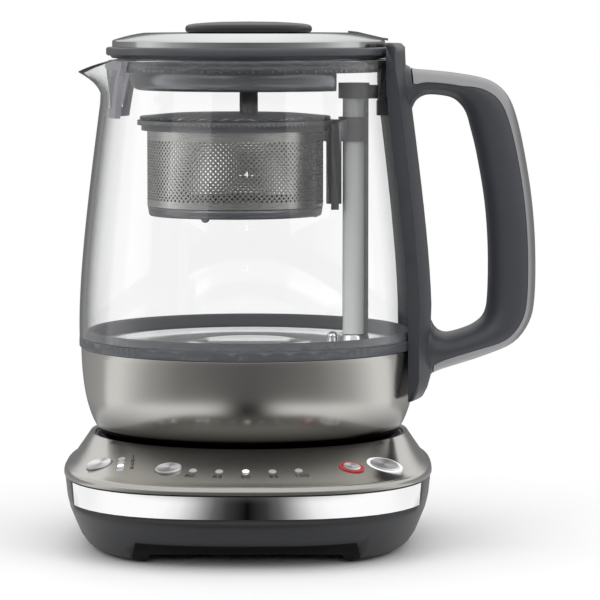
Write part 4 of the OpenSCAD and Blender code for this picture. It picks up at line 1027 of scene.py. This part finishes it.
stageSettings = {"floor": 30.0, "white": 1.0, "near": 0.16, "far": 0.5, "zone": (0.05, 0.1, 0.205, 0.235),
                 "front": (0.02, 0.1), "behind": 0.9, "mirrored": (0.11, 0.17), "stripReach": 130,
                 "strip": ((0, 0.003), (14, 0.04), (26, 0.12), (38, 0.33), (52, 0.62), (65, 0.84),
                           (85, 0.97), (105, 1.0)),
                 "round": ((0, 0.13), (20, 0.16), (44, 0.24), (67, 0.47), (80, 0.75), (91, 1.0), (107, 1.0),
                           (109, 0.48),
                           (140, 0.36), (180, 0.14))}


def greyRamp(tree, value, stops, full):
    return rampNode(tree, value, [(where / full, (grey, grey, grey, 1)) for where, grey in stops])


def turnShare(tree, x, y):
    # 0 straight in front, 1 straight behind
    return mathNode(tree, 'DIVIDE', mathNode(tree, 'ARCTAN2', mathNode(tree, 'ABSOLUTE', x),
                                             mathNode(tree, 'MULTIPLY', y, -1)), math.pi)


def blendNode(tree, fac, a, b):
    # a where fac is 0, b where it is 1
    return mathNode(tree, 'MULTIPLY_ADD', fac, mathNode(tree, 'SUBTRACT', b, a), a)


def straightThrough(tree, path):
    # 1 for a ray that has only passed through glass since it left the camera
    rest = mathNode(tree, 'ADD', path.outputs['Glossy Depth'], path.outputs['Diffuse Depth'])
    return mathNode(tree, 'SUBTRACT', path.outputs['Is Transmission Ray'], rest, clamp=True)


def makeStage(s):
    deselect()
    bpy.ops.mesh.primitive_plane_add(size=s["floor"], location=(0, 0, 0))
    floor = bpy.context.object
    floor.name = "studioFloor"
    m, tree, p = newLook("floorWhite")
    g = groupNode(tree, grainGroup, coords(tree), (0.88, 0.88, 0.88, 1),
                  {'Roughness': 0.6, 'Tint Spread': 0.01})
    wireShader(tree, g['Color'], g['Roughness'], p)
    x, y, z = splitNode(tree, coords(tree, jugAxis))
    dist = flatLength(tree, x, y)
    path = tree.nodes.new('ShaderNodeLightPath')
    # away from the base the floor shows plain white
    clear = straightThrough(tree, path)
    seen = mathNode(tree, 'MAXIMUM', path.outputs['Is Camera Ray'], clear)
    shown = mathNode(tree, 'MULTIPLY', smoothStep(tree, dist, s["near"], s["far"]), seen)
    # metal mirrors a darker strip in front and bright sides
    aside = mathNode(tree, 'DIVIDE', mathNode(tree, 'ABSOLUTE', x), s["stripReach"] * mm)
    strip = greyRamp(tree, aside, s["strip"], s["stripReach"])
    ring = greyRamp(tree, turnShare(tree, x, y), s["round"], 180)
    front = smoothStep(tree, mathNode(tree, 'MULTIPLY', y, -1), *s["front"])
    close = blendNode(tree, front, s["behind"], strip)
    a, b, c, d = s["zone"]
    zone = mathNode(tree, 'SUBTRACT', smoothStep(tree, dist, a, b), smoothStep(tree, dist, c, d))
    grey = blendNode(tree, zone, ring, close)
    glossy = mathNode(tree, 'SUBTRACT', path.outputs['Is Glossy Ray'], clear, clamp=True)
    fac = mathNode(tree, 'MAXIMUM', shown, mathNode(tree, 'MULTIPLY', glossy,
                                                    smoothStep(tree, dist, *s["mirrored"])))
    glow = tree.nodes.new('ShaderNodeEmission')
    tree.links.new(blendNode(tree, glossy, s["white"], grey), glow.inputs['Strength'])
    mixInto(tree, 'Material Output', fac, p, glow)
    floor.data.materials.append(m)


makeStage(stageSettings)

lampSettings = {
    "left": {"place": (-0.9, -0.9, 0.7), "aim": (0, 0, 0.1), "size": (0.8, 0.8), "power": 3.2},
    "right": {"place": (0.9, -0.9, 0.7), "aim": (0, 0, 0.1), "size": (0.8, 0.8), "power": 3.2},
    "top": {"place": (0, 0.1, 1.3), "aim": (0, 0, 0), "size": (1.2, 1.0), "power": 4}}


def makeLamps(all):
    for name, s in all.items():
        data = bpy.data.lights.new(name + "Softbox", 'AREA')
        data.shape = 'RECTANGLE'
        data.size, data.size_y = s["size"]
        data.energy = s["power"]
        lamp = bpy.data.objects.new(name + "Softbox", data)
        lamp.location = s["place"]
        lamp.rotation_euler = (Vector(s["aim"]) - Vector(s["place"])).to_track_quat('-Z', 'Y').to_euler()
        lamp.visible_glossy = False
        bpy.context.scene.collection.objects.link(lamp)


makeLamps(lampSettings)

worldSettings = {"low": 10, "high": 16, "sky": 1.0}


def makeWorld(s):
    w = bpy.data.worlds.new("studio")
    bpy.context.scene.world = w
    w.use_nodes = True
    tree = w.node_tree
    back = tree.nodes['Background']
    c = tree.nodes.new('ShaderNodeTexCoord')
    x, y, z = splitNode(tree, c.outputs['Generated'])
    ring = greyRamp(tree, turnShare(tree, x, y), stageSettings["round"], 180)
    up = smoothStep(tree, z, math.sin(math.radians(s["low"])), math.sin(math.radians(s["high"])))
    tree.links.new(blendNode(tree, up, ring, s["sky"]), back.inputs['Strength'])
    back.inputs['Color'].default_value = studioWhite
    white = tree.nodes.new('ShaderNodeBackground')
    white.inputs['Color'].default_value = studioWhite
    path = tree.nodes.new('ShaderNodeLightPath')
    seen = mathNode(tree, 'MAXIMUM', path.outputs['Is Camera Ray'], straightThrough(tree, path))
    mixInto(tree, 'World Output', seen, back, white)


makeWorld(worldSettings)

cameraSettings = {"place": (-0.0007, -1.4825, 0.2335), "down": 4.94, "lens": 203.0}


def makeCamera(s):
    data = bpy.data.cameras.new("studioCamera")
    data.lens = s["lens"]
    data.sensor_width = 36
    cam = bpy.data.objects.new("studioCamera", data)
    cam.location = s["place"]
    cam.rotation_euler = (math.radians(90 - s["down"]), 0, 0)
    bpy.context.scene.collection.objects.link(cam)
    bpy.context.scene.camera = cam
    bpy.context.scene.view_settings.view_transform = 'Standard'


makeCamera(cameraSettings)
print("stage, lamps and camera ready")
